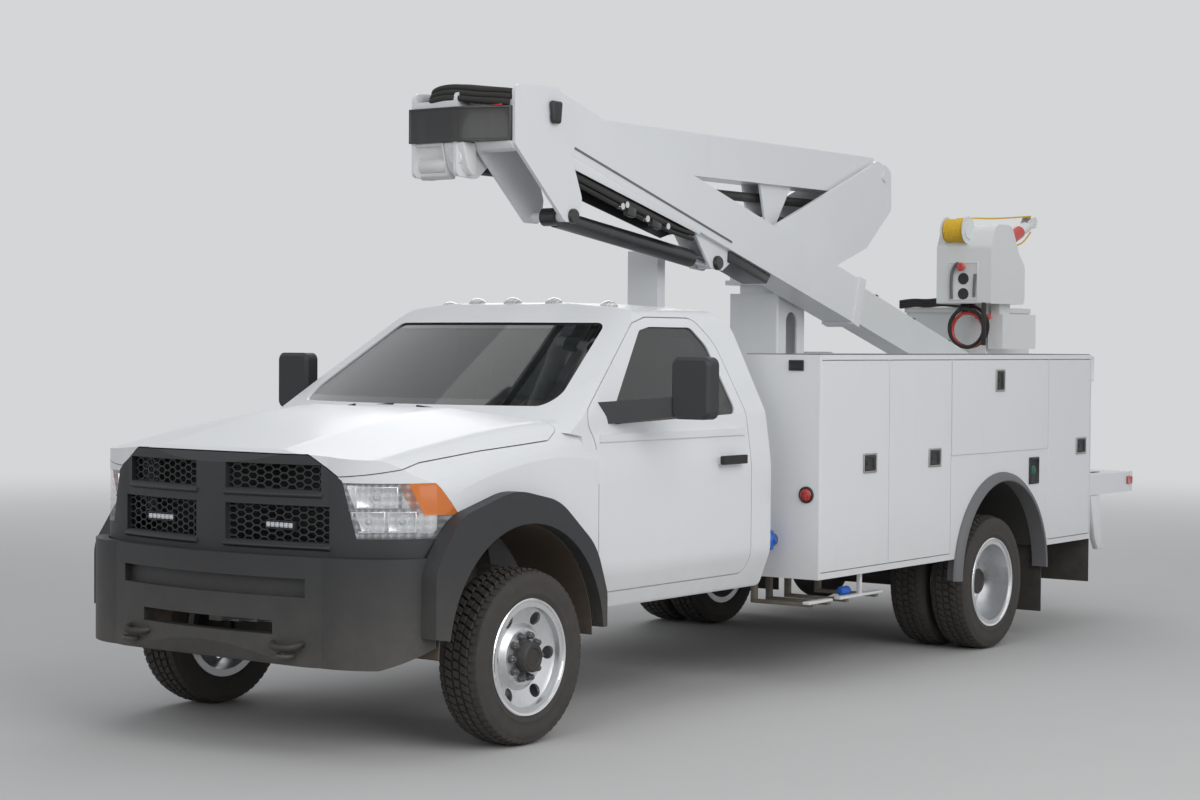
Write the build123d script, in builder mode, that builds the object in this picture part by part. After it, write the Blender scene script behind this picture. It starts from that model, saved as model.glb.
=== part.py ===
from build123d import *
import math
import os

# Aerial lift truck: a conventional cab on a long frame, a utility body with
# hinged compartment doors, and a two-part boom that folds over the roof.
# Millimetres. +X forward, +Y to the truck's left, +Z up from the ground.
# The origin lies under the middle of the whole truck, and stations named _X
# are measured from the front axle, forward.

# Chassis
WHEELBASE = 4280.0
FRONT_OVERHANG = 990.0
AXLE_Z = 395.0
RAIL_OUT_Y = 432.0
RAIL_TOP_Z = 800.0
RAIL_HEIGHT = 220.0
RAIL_FLANGE = 70.0
RAIL_WALL = 8.0
FRAME_FRONT_X = 760.0
FRAME_TAIL = 1620.0
HITCH_Z = 650.0
HITCH_SPACING = (85.7, 44.5)
HITCH_HOLE = 7.0

# Wheels
TYRE_RADIUS = AXLE_Z
TYRE_WIDTH = 225.0
BEAD_RADIUS = 247.0
RIM_RADIUS = 260.0
FRONT_TRACK_HALF = 951.0
DUAL_TRACK_HALF = 950.0
DUAL_SPACING = 268.0
KINGPIN_Y = 730.0
HUB_BORE = 45.0
DIFF_RADIUS = 175.0

# Cab
CAB_BACK_X = -2080.0
CAB_HALF_WIDTH = 1010.0
CAB_FLOOR_Z = 540.0
BELT_Z = 1430.0
ROOF_Z = 2005.0
ROOF_HALF_WIDTH = 745.0
FIREWALL_X = -470.0
COWL_Z = 1420.0
PANEL = 30.0
DOOR_SKIN = 12.0
GLASS_THICK = 5.0
GLASS_RADIUS = 3200.0
RAKE_DEG = 30.5
SCREEN_X = -209.0
DOOR_FRONT_X = -575.0
DOOR_REAR_X = -1890.0
CAB_HINGE_X = -571.0
CAB_HINGE_PIN = 2.2
DOOR_BOTTOM_Z = 625.0
DOOR_TOP_Z = 1925.0

# Nose
NOSE_X = 935.0
HOOD_REAR_X = -118.0
HOOD_SIDE_REAR_X = -338.0
HOOD_ARC = 2036.0
HOOD_PIVOT = (-300.0, 1438.0)
HOOD_HINGE_Y = 700.0
HOOD_PIN = 5.0
COWL_HALF = 850.0
FENDER_REAR_X = -569.0
FENDER_TOP_Z = 1300.0
SLOT_PITCH = (83.0, 32.0)
SLOT = ((-24, 0), (-12, -13), (12, -13), (24, 0), (12, 13), (-12, 13))
PANEL_TURN = 0.15
GRILLE_TOP_Z = 1309.0
GRILLE_BOTTOM_Z = 878.0
SKIN = 10.0
ARCH_RADIUS = 550.0
ARCH_RISE = 45.0
ARCH_SHIFT = 20.0
FLARE_DEPTH = 60.0
BUMPER_BOTTOM_Z = 408.0

# Utility body
BODY_GAP = 176.0
BODY_TAIL = 1359.0
BODY_HALF_WIDTH = 1194.0
BODY_TOP_Z = 1744.0
BODY_BOTTOM_Z = 567.0
BODY_WALL = 24.0
PACK_DEPTH = 480.0
BED_TOP_Z = 971.0
BED_THICK = 60.0
LOWER_DOOR_Z = 600.0
UPPER_DOOR_Z = 1718.0
MID_DOOR_Z = 1162.0
DOOR_THICK = 22.0
MID_DOOR_AHEAD = 549.0
MID_DOOR_BEHIND = 733.0
WELL_RADIUS = 560.0
WELL_RISE = 45.0
SHELF_LONG = 679.0
SHELF_DEPTH = 130.0

# Pedestal and turntable
SLEW_BACK = 1384.0
PEDESTAL_LONG = 312.0
PEDESTAL_WIDE = 340.0
PEDESTAL_TOP_Z = 2098.0
PEDESTAL_WALL = 12.0
RING_RADIUS = 165.0
RING_HEIGHT = 50.0
TABLE_THICK = 28.0
RISER_INNER_Y = 124.0
RISER_THICK = 22.0
REST_TOP_Z = 2305.0

# Lower boom, a level box in the stowed pose
LOWER_BACK = 1150.0
LOWER_PIVOT_Z = 2865.0
LOWER_LENGTH = 4000.0
LOWER_TALL = 240.0
LOWER_WIDE = 200.0
BOOM_WALL = 8.0
LINK_OFFSET = (130.0, -200.0)
LINK_RADIUS = 28.0
LOWER_LUG = (1230.0, -325.0)
LOWER_CYL_BASE = (250.0, -415.0)
PIN_RADIUS = 30.0
BASE_PIN_RADIUS = 26.0
LINK_PIN_RADIUS = 22.0

# Upper boom, sloping down to the rear beside the lower one
ELBOW_OFFSET = (-170.0, 67.0)
UPPER_SLOPE_DEG = 15.9
UPPER_TALL = 270.0
UPPER_Y = (200.0, 400.0)
UPPER_LENGTH = 3230.0
INNER_GAP = 14.0
INNER_TIP = 4960.0
INNER_OVERLAP = 2750.0
UPPER_LUG = (-1564.0, -689.0)
UPPER_CYL_BASE = (-160.0, -502.0)
CYL_RADIUS = 48.0
ROD_RADIUS = 26.0

# Bucket
TIP_PIN = 90.0
TIP_PIN_RADIUS = 24.0
EAR_RADIUS = 60.0
BUCKET_BACK = 258.2
BUCKET_LONG = 765.0
BUCKET_Y = (-410.0, 200.0)
BUCKET_TOP_Z = 2060.0
BUCKET_BOTTOM_Z = 994.0
BUCKET_WALL = 12.0

# Clearances
SEAT = 0.3
PIN_GAP = 0.3
SPIN_GAP = 0.08
RUN_GAP = 0.4
DOOR_GAP = 6.0
BODY_SEAM = 5.0
ROOF_LAMP_RADIUS = 55.0
ROOF_LAMP_SUNK = 25.0
LAMP_SEAM = 0.8
HINGE_PIN = 2.0
HINGE_BITE = 0.5
# Longer than any piece that a cut goes through.
AMPLE = 2600.0

# Stations that follow from the sizes above.
BODY_FRONT_X = CAB_BACK_X - BODY_GAP
BODY_REAR_X = -WHEELBASE - BODY_TAIL
FRAME_REAR_X = -WHEELBASE - FRAME_TAIL
SHELF_END_X = BODY_REAR_X - SHELF_LONG
SLEW_X = BODY_FRONT_X - SLEW_BACK
REST_X = BODY_FRONT_X - 14
MID_FRONT_X = -WHEELBASE + MID_DOOR_AHEAD
MID_REAR_X = -WHEELBASE - MID_DOOR_BEHIND
WELL_X = (MID_FRONT_X + MID_REAR_X) / 2
LOWER_PIVOT = (SLEW_X - LOWER_BACK, LOWER_PIVOT_Z)
LOWER_FRONT = (LOWER_PIVOT[0] + LOWER_LENGTH, LOWER_PIVOT_Z)
UPPER_PIVOT = (LOWER_FRONT[0] + ELBOW_OFFSET[0], LOWER_FRONT[1] + ELBOW_OFFSET[1])
SLOPE = math.radians(UPPER_SLOPE_DEG)


def boom_point(x, y):
    """A point x along the upper boom and y above its line, in the side view."""
    return (UPPER_PIVOT[0] - x * math.cos(SLOPE) - y * math.sin(SLOPE),
            UPPER_PIVOT[1] - x * math.sin(SLOPE) + y * math.cos(SLOPE))


TIP = boom_point(INNER_TIP + TIP_PIN, 0)
BUCKET_FRONT_X = TIP[0] - BUCKET_BACK
BUCKET_REAR_X = BUCKET_FRONT_X - BUCKET_LONG
X0 = -(FRONT_OVERHANG + BUCKET_REAR_X) / 2
REAR_AXLE_X = X0 - WHEELBASE

os.makedirs("parts", exist_ok=True)


def st(x):
    """A station measured from the front axle, as a place in this frame."""
    return X0 + x


def both(low, high):
    """The same two widths on the left and on the right."""
    return ((low, high), (-high, -low))


def shifted(p, d):
    return (p[0] + d[0], p[1] + d[1])


def along(a, b, t):
    """A point of the side view t millimetres from a towards b."""
    run = math.dist(a, b)
    return (a[0] + (b[0] - a[0]) * t / run, a[1] + (b[1] - a[1]) * t / run)


def outline(points, corner=0.0):
    """A closed face from points in order, where a point may end with its own corner radius."""
    radii = [p[2] if len(p) > 2 else corner for p in points]
    with BuildLine() as line:
        FilletPolyline(*[p[:2] for p in points], radius=radii, close=True)
    make_face(line.edges())


def drawn_in(points, t):
    """The same anticlockwise outline moved inwards by t, its corners kept concentric."""
    moved = []
    for i, (a, b, radius) in enumerate(points):
        here = Vector(a, b)
        before = (here - Vector(*points[i - 1][:2])).normalized()
        after = (Vector(*points[(i + 1) % len(points)][:2]) - here).normalized()
        inward = Vector(-before.Y - after.Y, before.X + after.X)
        corner = here + inward * (t / (1 + before.dot(after)))
        turn = 1 if before.X * after.Y > before.Y * after.X else -1
        moved.append((corner.X, corner.Y, max(radius - t * turn, 0) if radius else 0))
    return moved


def mirrored(half):
    """A half outline of (width, height, radius) on the left, closed over to the right."""
    return half + [(-y, z, r) for y, z, r in reversed(half)]


def slab(x, y, z, mode=Mode.ADD):
    """A plain block between two stations, two widths and two heights."""
    with Locations((st((x[0] + x[1]) / 2), (y[0] + y[1]) / 2, (z[0] + z[1]) / 2)):
        Box(abs(x[1] - x[0]), abs(y[1] - y[0]), abs(z[1] - z[0]), mode=mode)


def side_plate(points, y, mode=Mode.ADD, corner=0.0, taper=0.0):
    """A plate whose outline lies in the side view, between two widths."""
    with BuildSketch(Plane.XZ.offset(-y[1])) as face:
        outline([(st(p[0]), *p[1:]) for p in points], corner)
    extrude(face.sketch, amount=y[1] - y[0], mode=mode, taper=taper)


def end_form(points, x):
    """A form whose outline lies in the end view, between two stations."""
    with BuildPart() as form:
        with BuildSketch(Plane.YZ.offset(st(x[0]))):
            outline(points)
        extrude(amount=x[1] - x[0])
    return form.part


def side_form(points, y):
    """A form whose outline lies in the side view, between two widths."""
    with BuildPart() as form:
        side_plate(points, y)
    return form.part


def pin_y(x, z, y, radius, mode=Mode.ADD):
    """A round bar across the truck between two widths."""
    with Locations(Location((st(x), (y[0] + y[1]) / 2, z), (90, 0, 0))):
        Cylinder(radius, abs(y[1] - y[0]), mode=mode)


def strut(a, b, y, radius, mode=Mode.ADD):
    """A round bar between two points of the side view, at one width."""
    run = Vector(b[0] - a[0], 0, b[1] - a[1])
    start = Vector(st(a[0]), y, a[1])
    with Locations(Plane(origin=start + run * 0.5, z_dir=run.normalized())):
        Cylinder(radius, run.length, mode=mode)


# Frame: two channel rails, cross members between them and a tow plate at the tail.
rail_bottom = RAIL_TOP_Z - RAIL_HEIGHT
member_z = (RAIL_TOP_Z - 95, RAIL_TOP_Z - 15)
with BuildPart() as frame:
    for y in both(RAIL_OUT_Y - RAIL_FLANGE, RAIL_OUT_Y):
        slab((FRAME_FRONT_X, FRAME_REAR_X), y, (rail_bottom, RAIL_TOP_Z))
    for y in both(RAIL_OUT_Y - RAIL_FLANGE - 5, RAIL_OUT_Y - RAIL_WALL):
        slab((FRAME_FRONT_X + 5, FRAME_REAR_X - 5), y,
             (rail_bottom + RAIL_WALL, RAIL_TOP_Z - RAIL_WALL), Mode.SUBTRACT)
    web = RAIL_OUT_Y - RAIL_WALL - SEAT
    for x in (FRAME_FRONT_X - 120, -1150.0, BODY_FRONT_X - 44, SLEW_X + 340, -WHEELBASE - 720,
              FRAME_REAR_X + 50):
        slab((x - 40, x + 40), (-web, web), member_z)
    slab((FRAME_REAR_X - SEAT, FRAME_REAR_X - 16), (-RAIL_OUT_Y, RAIL_OUT_Y),
         (rail_bottom - 30, RAIL_TOP_Z))
    with Locations(Plane(origin=(st(FRAME_REAR_X - 8), 0, HITCH_Z), z_dir=(1, 0, 0))):
        with GridLocations(HITCH_SPACING[1], HITCH_SPACING[0], 2, 2):
            Cylinder(HITCH_HOLE, 40, mode=Mode.SUBTRACT)
frame.part.label = "frame"
export_step(frame.part, "parts/frame.step")

# Front axle: a forged beam with a boss at each kingpin.
with BuildPart() as front_axle:
    slab((-45, 45), (-KINGPIN_Y + 10, KINGPIN_Y - 10), (AXLE_Z - 55, AXLE_Z + 45))
    for side in (1, -1):
        with Locations((st(0), side * KINGPIN_Y, AXLE_Z)):
            Cylinder(48, 150)
            Cylinder(22 + PIN_GAP, 160, mode=Mode.SUBTRACT)
front_axle.part.label = "front_axle"
export_step(front_axle.part, "parts/front_axle.step")

# Rear axle: tube, round differential housing and stub ends in the hubs.
hub_end = DUAL_TRACK_HALF + 50
with BuildPart() as rear_axle:
    pin_y(-WHEELBASE, AXLE_Z, (-DUAL_TRACK_HALF + 330, DUAL_TRACK_HALF - 330), 62)
    with Locations((REAR_AXLE_X, 0, AXLE_Z)):
        Sphere(DIFF_RADIUS)
    pin_y(-WHEELBASE, AXLE_Z, (-hub_end, hub_end), HUB_BORE - SPIN_GAP)
rear_axle.part.label = "rear_axle"
export_step(rear_axle.part, "parts/rear_axle.step")

# Springs: leaf packs above both axles, outside the rails, with their hangers.
spring_y = (RAIL_OUT_Y + 12, RAIL_OUT_Y + 88)
with BuildPart() as springs:
    for x, top, half in ((-WHEELBASE, AXLE_Z + 62, 640), (0.0, AXLE_Z + 45, 440)):
        for y in both(*spring_y):
            for i in range(4):
                reach = half - 120 * i
                slab((x - reach, x + reach), y, (top + 14 * (3 - i) + SEAT, top + 14 * (4 - i) + SEAT))
            slab((x - 70, x + 70), y, (top + SEAT, top + 20))
        for y in both(RAIL_OUT_Y, spring_y[1]):
            for end in (1, -1):
                hang = x + end * (half - 30)
                slab((hang - 30, hang + 30), y, (top + 50, RAIL_TOP_Z - 60))
springs.part.label = "springs"
export_step(springs.part, "parts/springs.step")

# Engine, gearbox and propeller shaft.
with BuildPart() as driveline:
    slab((520, FIREWALL_X + 140), (-300, 300), (RAIL_TOP_Z - 70, 1230))
    slab((FIREWALL_X + 140, -1090), (-190, 190), (RAIL_TOP_Z - 170, RAIL_TOP_Z + 120))
    strut((-1080, RAIL_TOP_Z - 165), (-WHEELBASE + DIFF_RADIUS - 0.7, AXLE_Z + 20), 0, 52)
driveline.part.label = "driveline"
export_step(driveline.part, "parts/driveline.step")

# Fuel tank between the rails, hung below the cross members.
with BuildPart() as fuel_tank:
    slab((-WHEELBASE - 700, FRAME_REAR_X + 180), (-330, 330), (480, member_z[0] - SEAT))
    fillet(fuel_tank.edges().filter_by(Axis.X), 40)
fuel_tank.part.label = "fuel_tank"
export_step(fuel_tank.part, "parts/fuel_tank.step")

# Cab outlines, anticlockwise: (along, up, radius) from the side, (across, up, radius) from the front.
cab_side = [(FIREWALL_X - 75, CAB_FLOOR_Z, 20), (FIREWALL_X, CAB_FLOOR_Z + 260, 60),
            (FIREWALL_X, COWL_Z - 55, 0),
            (SCREEN_X + 60, COWL_Z, 0), (SCREEN_X + 60, ROOF_Z, 0), (-800, ROOF_Z - 45, 0),
            (-1250, ROOF_Z, 600),
            (-1780, ROOF_Z, 500), (CAB_BACK_X + 45, ROOF_Z - 70, 140), (CAB_BACK_X, BELT_Z, 60),
            (CAB_BACK_X, CAB_FLOOR_Z, 30)]
cab_end = mirrored([(CAB_HALF_WIDTH - 75, CAB_FLOOR_Z - 10, 40), (CAB_HALF_WIDTH, 730, 200),
                    (CAB_HALF_WIDTH, 1190, 800), (CAB_HALF_WIDTH - 38, BELT_Z + 20, 120),
                    (ROOF_HALF_WIDTH, ROOF_Z - 40, 130), (300, ROOF_Z - 2, 900)])
door_outline = [(DOOR_FRONT_X, DOOR_BOTTOM_Z, 70), (DOOR_FRONT_X, BELT_Z - 90, 160),
                (DOOR_FRONT_X + 70, BELT_Z + 22, 80),
                (-1155, DOOR_TOP_Z - 30, 60), (-1290, DOOR_TOP_Z, 100), (-1700, DOOR_TOP_Z, 110),
                (-1825, 1800, 200), (DOOR_REAR_X, BELT_Z, 300), (DOOR_REAR_X, DOOR_BOTTOM_Z, 70)]
window_outline = [(DOOR_FRONT_X - 100, BELT_Z - 18, 28), (-1195, 1862, 60), (-1290, 1880, 40),
                  (-1655, 1880, 60),
                  (-1745, 1785, 90), (DOOR_REAR_X + 85, BELT_Z + 12, 40)]


def cab_form(t):
    """The cab's solid outer form, drawn in by t, behind a bowed and raked screen."""
    rake = math.radians(RAKE_DEG)
    lean = Vector(-math.cos(rake), 0, math.sin(rake))
    out = Vector(math.sin(rake), 0, math.cos(rake))
    centre = Vector(st(SCREEN_X), 0, BELT_Z + 30) - out * GLASS_RADIUS
    with BuildPart() as form:
        add(side_form(drawn_in(cab_side, t), (-CAB_HALF_WIDTH - 50, CAB_HALF_WIDTH + 50)))
        add(end_form(drawn_in(cab_end, t), (CAB_BACK_X - 100, CAB_BACK_X + AMPLE)), mode=Mode.INTERSECT)
        with Locations(Plane(origin=centre, z_dir=lean)):
            Cylinder(GLASS_RADIUS - t, 5 * AMPLE, mode=Mode.INTERSECT)
    return form.part


cab_outer = cab_form(0)
cab_inner = cab_form(PANEL)
cab_skin_in = cab_form(DOOR_SKIN)
cab_seat = cab_form(DOOR_SKIN + SEAT)
cab_near = cab_form(-SEAT)
glass_out = cab_form(8)
glass_in = cab_form(8 + GLASS_THICK)
left_side = (CAB_HALF_WIDTH - 610, CAB_HALF_WIDTH + 290)
door_form = side_form(door_outline, left_side)
door_hole = side_form(drawn_in(door_outline, -DOOR_GAP), left_side)
door_inner_hole = side_form(drawn_in(door_outline, 16), left_side)
window_form = side_form(window_outline, left_side)
with BuildPart() as tip_room:
    add(door_hole)
    slab((DOOR_FRONT_X - 75, SCREEN_X), (0, AMPLE), (FENDER_TOP_Z, 1560), Mode.INTERSECT)
door_tip = tip_room.part
screen_outline = [(815, BELT_Z + 70, 60), (665, ROOF_Z - 107, 60)]
rear_outline = [(600, BELT_Z + 50, 50), (560, ROOF_Z - 175, 50)]
front_screen = end_form(mirrored(screen_outline), (-1700, SCREEN_X + 100))
rear_screen = end_form(mirrored(rear_outline), (CAB_BACK_X - 220, CAB_BACK_X + 230))

def bow_plan(front, shoulder, corner, flank, rear):
    """A plan outline with a bowed front and rounded corners, the same on both sides."""
    with BuildLine() as plan:
        ThreePointArc((st(shoulder[0]), -shoulder[1]), (st(front), 0), (st(shoulder[0]), shoulder[1]))
        ThreePointArc((st(shoulder[0]), shoulder[1]), (st(corner[0]), corner[1]), (st(flank[0]), flank[1]))
        Polyline((st(flank[0]), flank[1]), (st(rear[0]), rear[1]), (st(rear[0]), -rear[1]),
                 (st(flank[0]), -flank[1]))
        ThreePointArc((st(flank[0]), -flank[1]), (st(corner[0]), -corner[1]),
                      (st(shoulder[0]), -shoulder[1]))
    make_face(plan.edges())


def nose_form(t):
    """The nose's solid outer form, drawn in by t: sections blended along it, bowed in front."""
    bottom = 480 if t <= 0 else 380
    # Half width, height where the side curves in, shoulder of the hood and edge of its dome.
    sections = ((-585.0, CAB_HALF_WIDTH, 1291, (900, 1441), (430, 1478)),
                (150.0, CAB_HALF_WIDTH - 2, 1250, (895, 1390), (420, 1462)),
                (900.0, CAB_HALF_WIDTH - 25, 1120, (860, 1268), (380, 1325)),
                (960.0, CAB_HALF_WIDTH - 27, 1110, (857, 1258), (377, 1314)))
    with BuildPart() as form:
        for x, half, side_z, shoulder, dome in sections:
            with BuildSketch(Plane.YZ.offset(st(x))):
                outline(drawn_in(mirrored([(half, bottom, 0), (half, side_z, 180), (*shoulder, 150),
                                           (*dome, 300)]), t))
        loft()
        profile = [(-600, 300, 0), (955, 300, 0), (955, 1240, 40), (900, 1312, 60), (600, 1500, 0),
                   (-600, 1500, 0)]
        side_plate(drawn_in(profile, t), (-AMPLE, AMPLE), Mode.INTERSECT)
        with BuildSketch(Plane.XY.offset(200)):
            bow_plan(NOSE_X - t, (850 - t, 620 - 0.3 * t), (740 - 0.7 * t, 870 - 0.7 * t),
                     (470, CAB_HALF_WIDTH - 10 - t), (-700, CAB_HALF_WIDTH + 2 - t))
        extrude(amount=1500, mode=Mode.INTERSECT)
    return form.part


nose_outer = nose_form(0)
nose_inner = nose_form(SKIN)
nose_seat = nose_form(SKIN + SEAT)
with BuildPart() as zone:
    for y in both(CAB_HALF_WIDTH - 110, CAB_HALF_WIDTH + 90):
        slab((FIREWALL_X + 20, FENDER_REAR_X - SEAT), y, (CAB_FLOOR_Z - 40, FENDER_TOP_Z + SEAT))
fender_zone = zone.part

# Outline of the grille in the end view; its outer edge runs along the lamps.
grille_rows = [(740, GRILLE_BOTTOM_Z, 0), (756, 958, 0), (692, 1205, 25), (530, GRILLE_TOP_Z, 40)]

# The shell keeps a flange behind each door, which the door's skin lies against.
with BuildPart() as cab_shell:
    add(cab_outer)
    add(cab_inner, mode=Mode.SUBTRACT)
    for cut in (door_hole - cab_seat, door_inner_hole, door_tip):
        add(cut, mode=Mode.SUBTRACT)
        add(cut.mirror(Plane.XZ), mode=Mode.SUBTRACT)
    add(front_screen, mode=Mode.SUBTRACT)
    add(rear_screen, mode=Mode.SUBTRACT)
    # Tunnel over the gearbox.
    tunnel_z = RAIL_TOP_Z + 130
    slab((FIREWALL_X + 10, CAB_BACK_X - 10), (-RAIL_OUT_Y, RAIL_OUT_Y), (CAB_FLOOR_Z - 20, RAIL_TOP_Z + 10),
         Mode.SUBTRACT)
    slab((FIREWALL_X + 10, FIREWALL_X - 60), (-RAIL_OUT_Y, RAIL_OUT_Y), (RAIL_TOP_Z, tunnel_z + 1),
         Mode.SUBTRACT)
    slab((FIREWALL_X - 20, CAB_BACK_X + 20), (-RAIL_OUT_Y - 25, RAIL_OUT_Y + 25), (tunnel_z, tunnel_z + 20))
    for y in both(RAIL_OUT_Y, RAIL_OUT_Y + 25):
        slab((FIREWALL_X - 20, CAB_BACK_X + 20), y, (CAB_FLOOR_Z, tunnel_z + 20))
    # Cowl plate in the gap between the hood and the screen, and the hood's hinge pins on it.
    with BuildPart() as cowl:
        with BuildSketch(Plane.XY.offset(COWL_Z - 12)):
            with BuildLine():
                edge = COWL_HALF - SEAT
                corners = ((-330, -300), (-460, -edge), (0, -edge), (0, edge), (-460, edge), (-330, 300))
                Polyline(*[(st(x), y) for x, y in corners], close=True)
            make_face()
        extrude(amount=12)
        with Locations((st(HOOD_REAR_X) - HOOD_ARC, 0, COWL_Z)):
            Cylinder(HOOD_ARC - 14, 200, mode=Mode.INTERSECT)
    add(cowl.part)
    for y in both(HOOD_HINGE_Y - 25, HOOD_HINGE_Y - 12) + both(HOOD_HINGE_Y + 12, HOOD_HINGE_Y + 25):
        slab((HOOD_PIVOT[0] - 10, HOOD_PIVOT[0] + 10), y, (COWL_Z - 5, HOOD_PIVOT[1] + 8))
    for y in both(HOOD_HINGE_Y - 25, HOOD_HINGE_Y + 25):
        pin_y(*HOOD_PIVOT, y, HOOD_PIN)
    # Step down behind the rear end of the fender skin, which laps over the pillar.
    add((fender_zone - nose_seat), mode=Mode.SUBTRACT)
cab_shell.part.label = "cab_shell"
export_step(cab_shell.part, "parts/cab_shell.step")

with BuildPart() as cab_glass:
    add(glass_out)
    add(glass_in, mode=Mode.SUBTRACT)
    add(front_screen + rear_screen, mode=Mode.INTERSECT)
cab_glass.part.label = "cab_glass"
export_step(cab_glass.part, "parts/cab_glass.step")

# Doors: a curved skin with a flat casing behind it, a sill below the window and a handle.
casing_y = CAB_HALF_WIDTH - 110
with BuildPart() as door_left:
    add(cab_outer)
    add(cab_skin_in, mode=Mode.SUBTRACT)
    add(door_form, mode=Mode.INTERSECT)
    add(window_form, mode=Mode.SUBTRACT)
    casing = (DOOR_FRONT_X - 24, DOOR_REAR_X + 40)
    slab(casing, (casing_y, casing_y + 28), (DOOR_BOTTOM_Z + 30, BELT_Z - 60))
    slab(casing, (casing_y, CAB_HALF_WIDTH - DOOR_SKIN + 2), (BELT_Z - 96, BELT_Z - 60))
    slab((casing[0] - 20, casing[1]), (casing_y, CAB_HALF_WIDTH - 40),
         (DOOR_BOTTOM_Z + 30, DOOR_BOTTOM_Z + 62))
    for x, reach in ((DOOR_REAR_X + 290, 55), (DOOR_REAR_X + 125, 55)):
        slab((x - 12, x + 12), (CAB_HALF_WIDTH - 20, CAB_HALF_WIDTH + 34), (1196, 1232))
    slab((DOOR_REAR_X + 100, DOOR_REAR_X + 315), (CAB_HALF_WIDTH + 22, CAB_HALF_WIDTH + 42), (1192, 1236))
door_left.part.label = "door_left"
export_step(door_left.part, "parts/door_left.step")
with BuildPart() as door_right:
    add(door_left.part.mirror(Plane.XZ))
door_right.part.label = "door_right"
export_step(door_right.part, "parts/door_right.step")

with BuildPart() as door_glass_left:
    add(glass_out)
    add(glass_in, mode=Mode.SUBTRACT)
    add(window_form, mode=Mode.INTERSECT)
door_glass_left.part.label = "door_glass_left"
export_step(door_glass_left.part, "parts/door_glass_left.step")
with BuildPart() as door_glass_right:
    add(door_glass_left.part.mirror(Plane.XZ))
door_glass_right.part.label = "door_glass_right"
export_step(door_glass_right.part, "parts/door_glass_right.step")

# Mirrors: a tall head on a deep, level arm whose foot lies against the door.
mirror_y = (CAB_HALF_WIDTH + 170, CAB_HALF_WIDTH + 390)
with BuildPart() as mirror_left:
    slab((-905, -990), mirror_y, (1440, 1735))
    fillet(mirror_left.edges().filter_by(Axis.X), 40)
    chamfer(mirror_left.faces().sort_by(Axis.X)[-1].edges(), 16)
    with BuildSketch(Plane.XZ.offset(-mirror_y[0] - 20)) as arm:
        with Locations((st(-945), 1498)):
            Rectangle(44, 96)
    with BuildSketch(Plane.XZ.offset(-casing_y - 10)) as foot:
        with Locations((st(-690), 1462)):
            Rectangle(150, 108)
    loft([arm.sketch.face(), foot.sketch.face()])
    add(cab_near, mode=Mode.SUBTRACT)
mirror_left.part.label = "mirror_left"
export_step(mirror_left.part, "parts/mirror_left.step")
with BuildPart() as mirror_right:
    add(mirror_left.part.mirror(Plane.XZ))
mirror_right.part.label = "mirror_right"
export_step(mirror_right.part, "parts/mirror_right.step")

# Seat bench on its box, and the dashboard with the steering wheel.
seat_top = CAB_FLOOR_Z + 580
with BuildPart() as seat:
    side_plate([(-1180, seat_top - 160, 18), (-1160, seat_top, 40), (-1640, seat_top - 30, 40),
                (-1780, seat_top + 580, 40), (-1900, seat_top + 580, 40), (-1800, seat_top - 160, 18)],
                (-700, 700))
    for y in both(RAIL_OUT_Y + 60, 690):
        slab((-1230, -1780), y, (CAB_FLOOR_Z + PANEL + SEAT, seat_top - 100))
seat.part.label = "seat"
export_step(seat.part, "parts/seat.step")
wheel_centre = (-1000, 1310)
with BuildPart() as dashboard:
    side_plate([(FIREWALL_X - PANEL - SEAT, 1180, 0), (FIREWALL_X - PANEL - SEAT, 1330, 0),
                (-700, 1392, 40),
                (-830, 1330, 40), (-800, 1180, 20)], (-820, 820))
    tilt = Plane(origin=(st(wheel_centre[0]), 400, wheel_centre[1]), z_dir=(-0.92, 0, 0.39))
    with Locations(tilt):
        Torus(185, 15)
    with BuildSketch(tilt):
        Rectangle(40, 370)
        Circle(50)
    extrude(amount=8, both=True)
    strut((-800, 1225), wheel_centre, 400, 26)
dashboard.part.label = "dashboard"
export_step(dashboard.part, "parts/dashboard.step")

# Hood: everything of the nose above a side cut line, ahead of an arc before the screen.
hood_top = 1800
hood_line = [(1200, 1204, 0), (1200, hood_top, 0), (HOOD_SIDE_REAR_X, hood_top, 0),
             (HOOD_SIDE_REAR_X, 1400, 38), (-240, 1355, 60), (222, 1322, 0), (590, 1283, 0), (890, 1212, 0)]
behind_hood = Location((st(HOOD_REAR_X) - HOOD_ARC, 0, BELT_Z))
with BuildPart() as hood:
    add(nose_outer)
    add(nose_inner, mode=Mode.SUBTRACT)
    side_plate(hood_line, (-AMPLE, AMPLE), Mode.INTERSECT)
    with Locations(behind_hood):
        Cylinder(HOOD_ARC, AMPLE, mode=Mode.SUBTRACT)
    add(end_form(drawn_in(mirrored(grille_rows), -BODY_SEAM), (300, 1200)), mode=Mode.SUBTRACT)
    for side in (1, -1):
        y = (side * HOOD_HINGE_Y - 10, side * HOOD_HINGE_Y + 10)
        slab((HOOD_PIVOT[0], -150), y, (HOOD_PIVOT[1] - 2, HOOD_PIVOT[1] + 10))
        pin_y(*HOOD_PIVOT, y, HOOD_PIN + 5)
        pin_y(*HOOD_PIVOT, y, HOOD_PIN + PIN_GAP, Mode.SUBTRACT)
hood.part.label = "hood"
export_step(hood.part, "parts/hood.step")

# Fenders: the rest of the nose, open for the wheels, the grille and the lamps.
lamp_side = [(400, 958, 8), (1000, 958, 0), (1000, 1196, 0), (560, 1196, 20), (385, 1004, 12)]
lamp_low, lamp_high = (along(grille_rows[1][:2], grille_rows[2][:2], t) for t in (-10, 265))
lamp_end = [(*lamp_low, 0), (1100, lamp_low[1], 0), (1100, lamp_high[1], 0), (*lamp_high, 0)]


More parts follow.
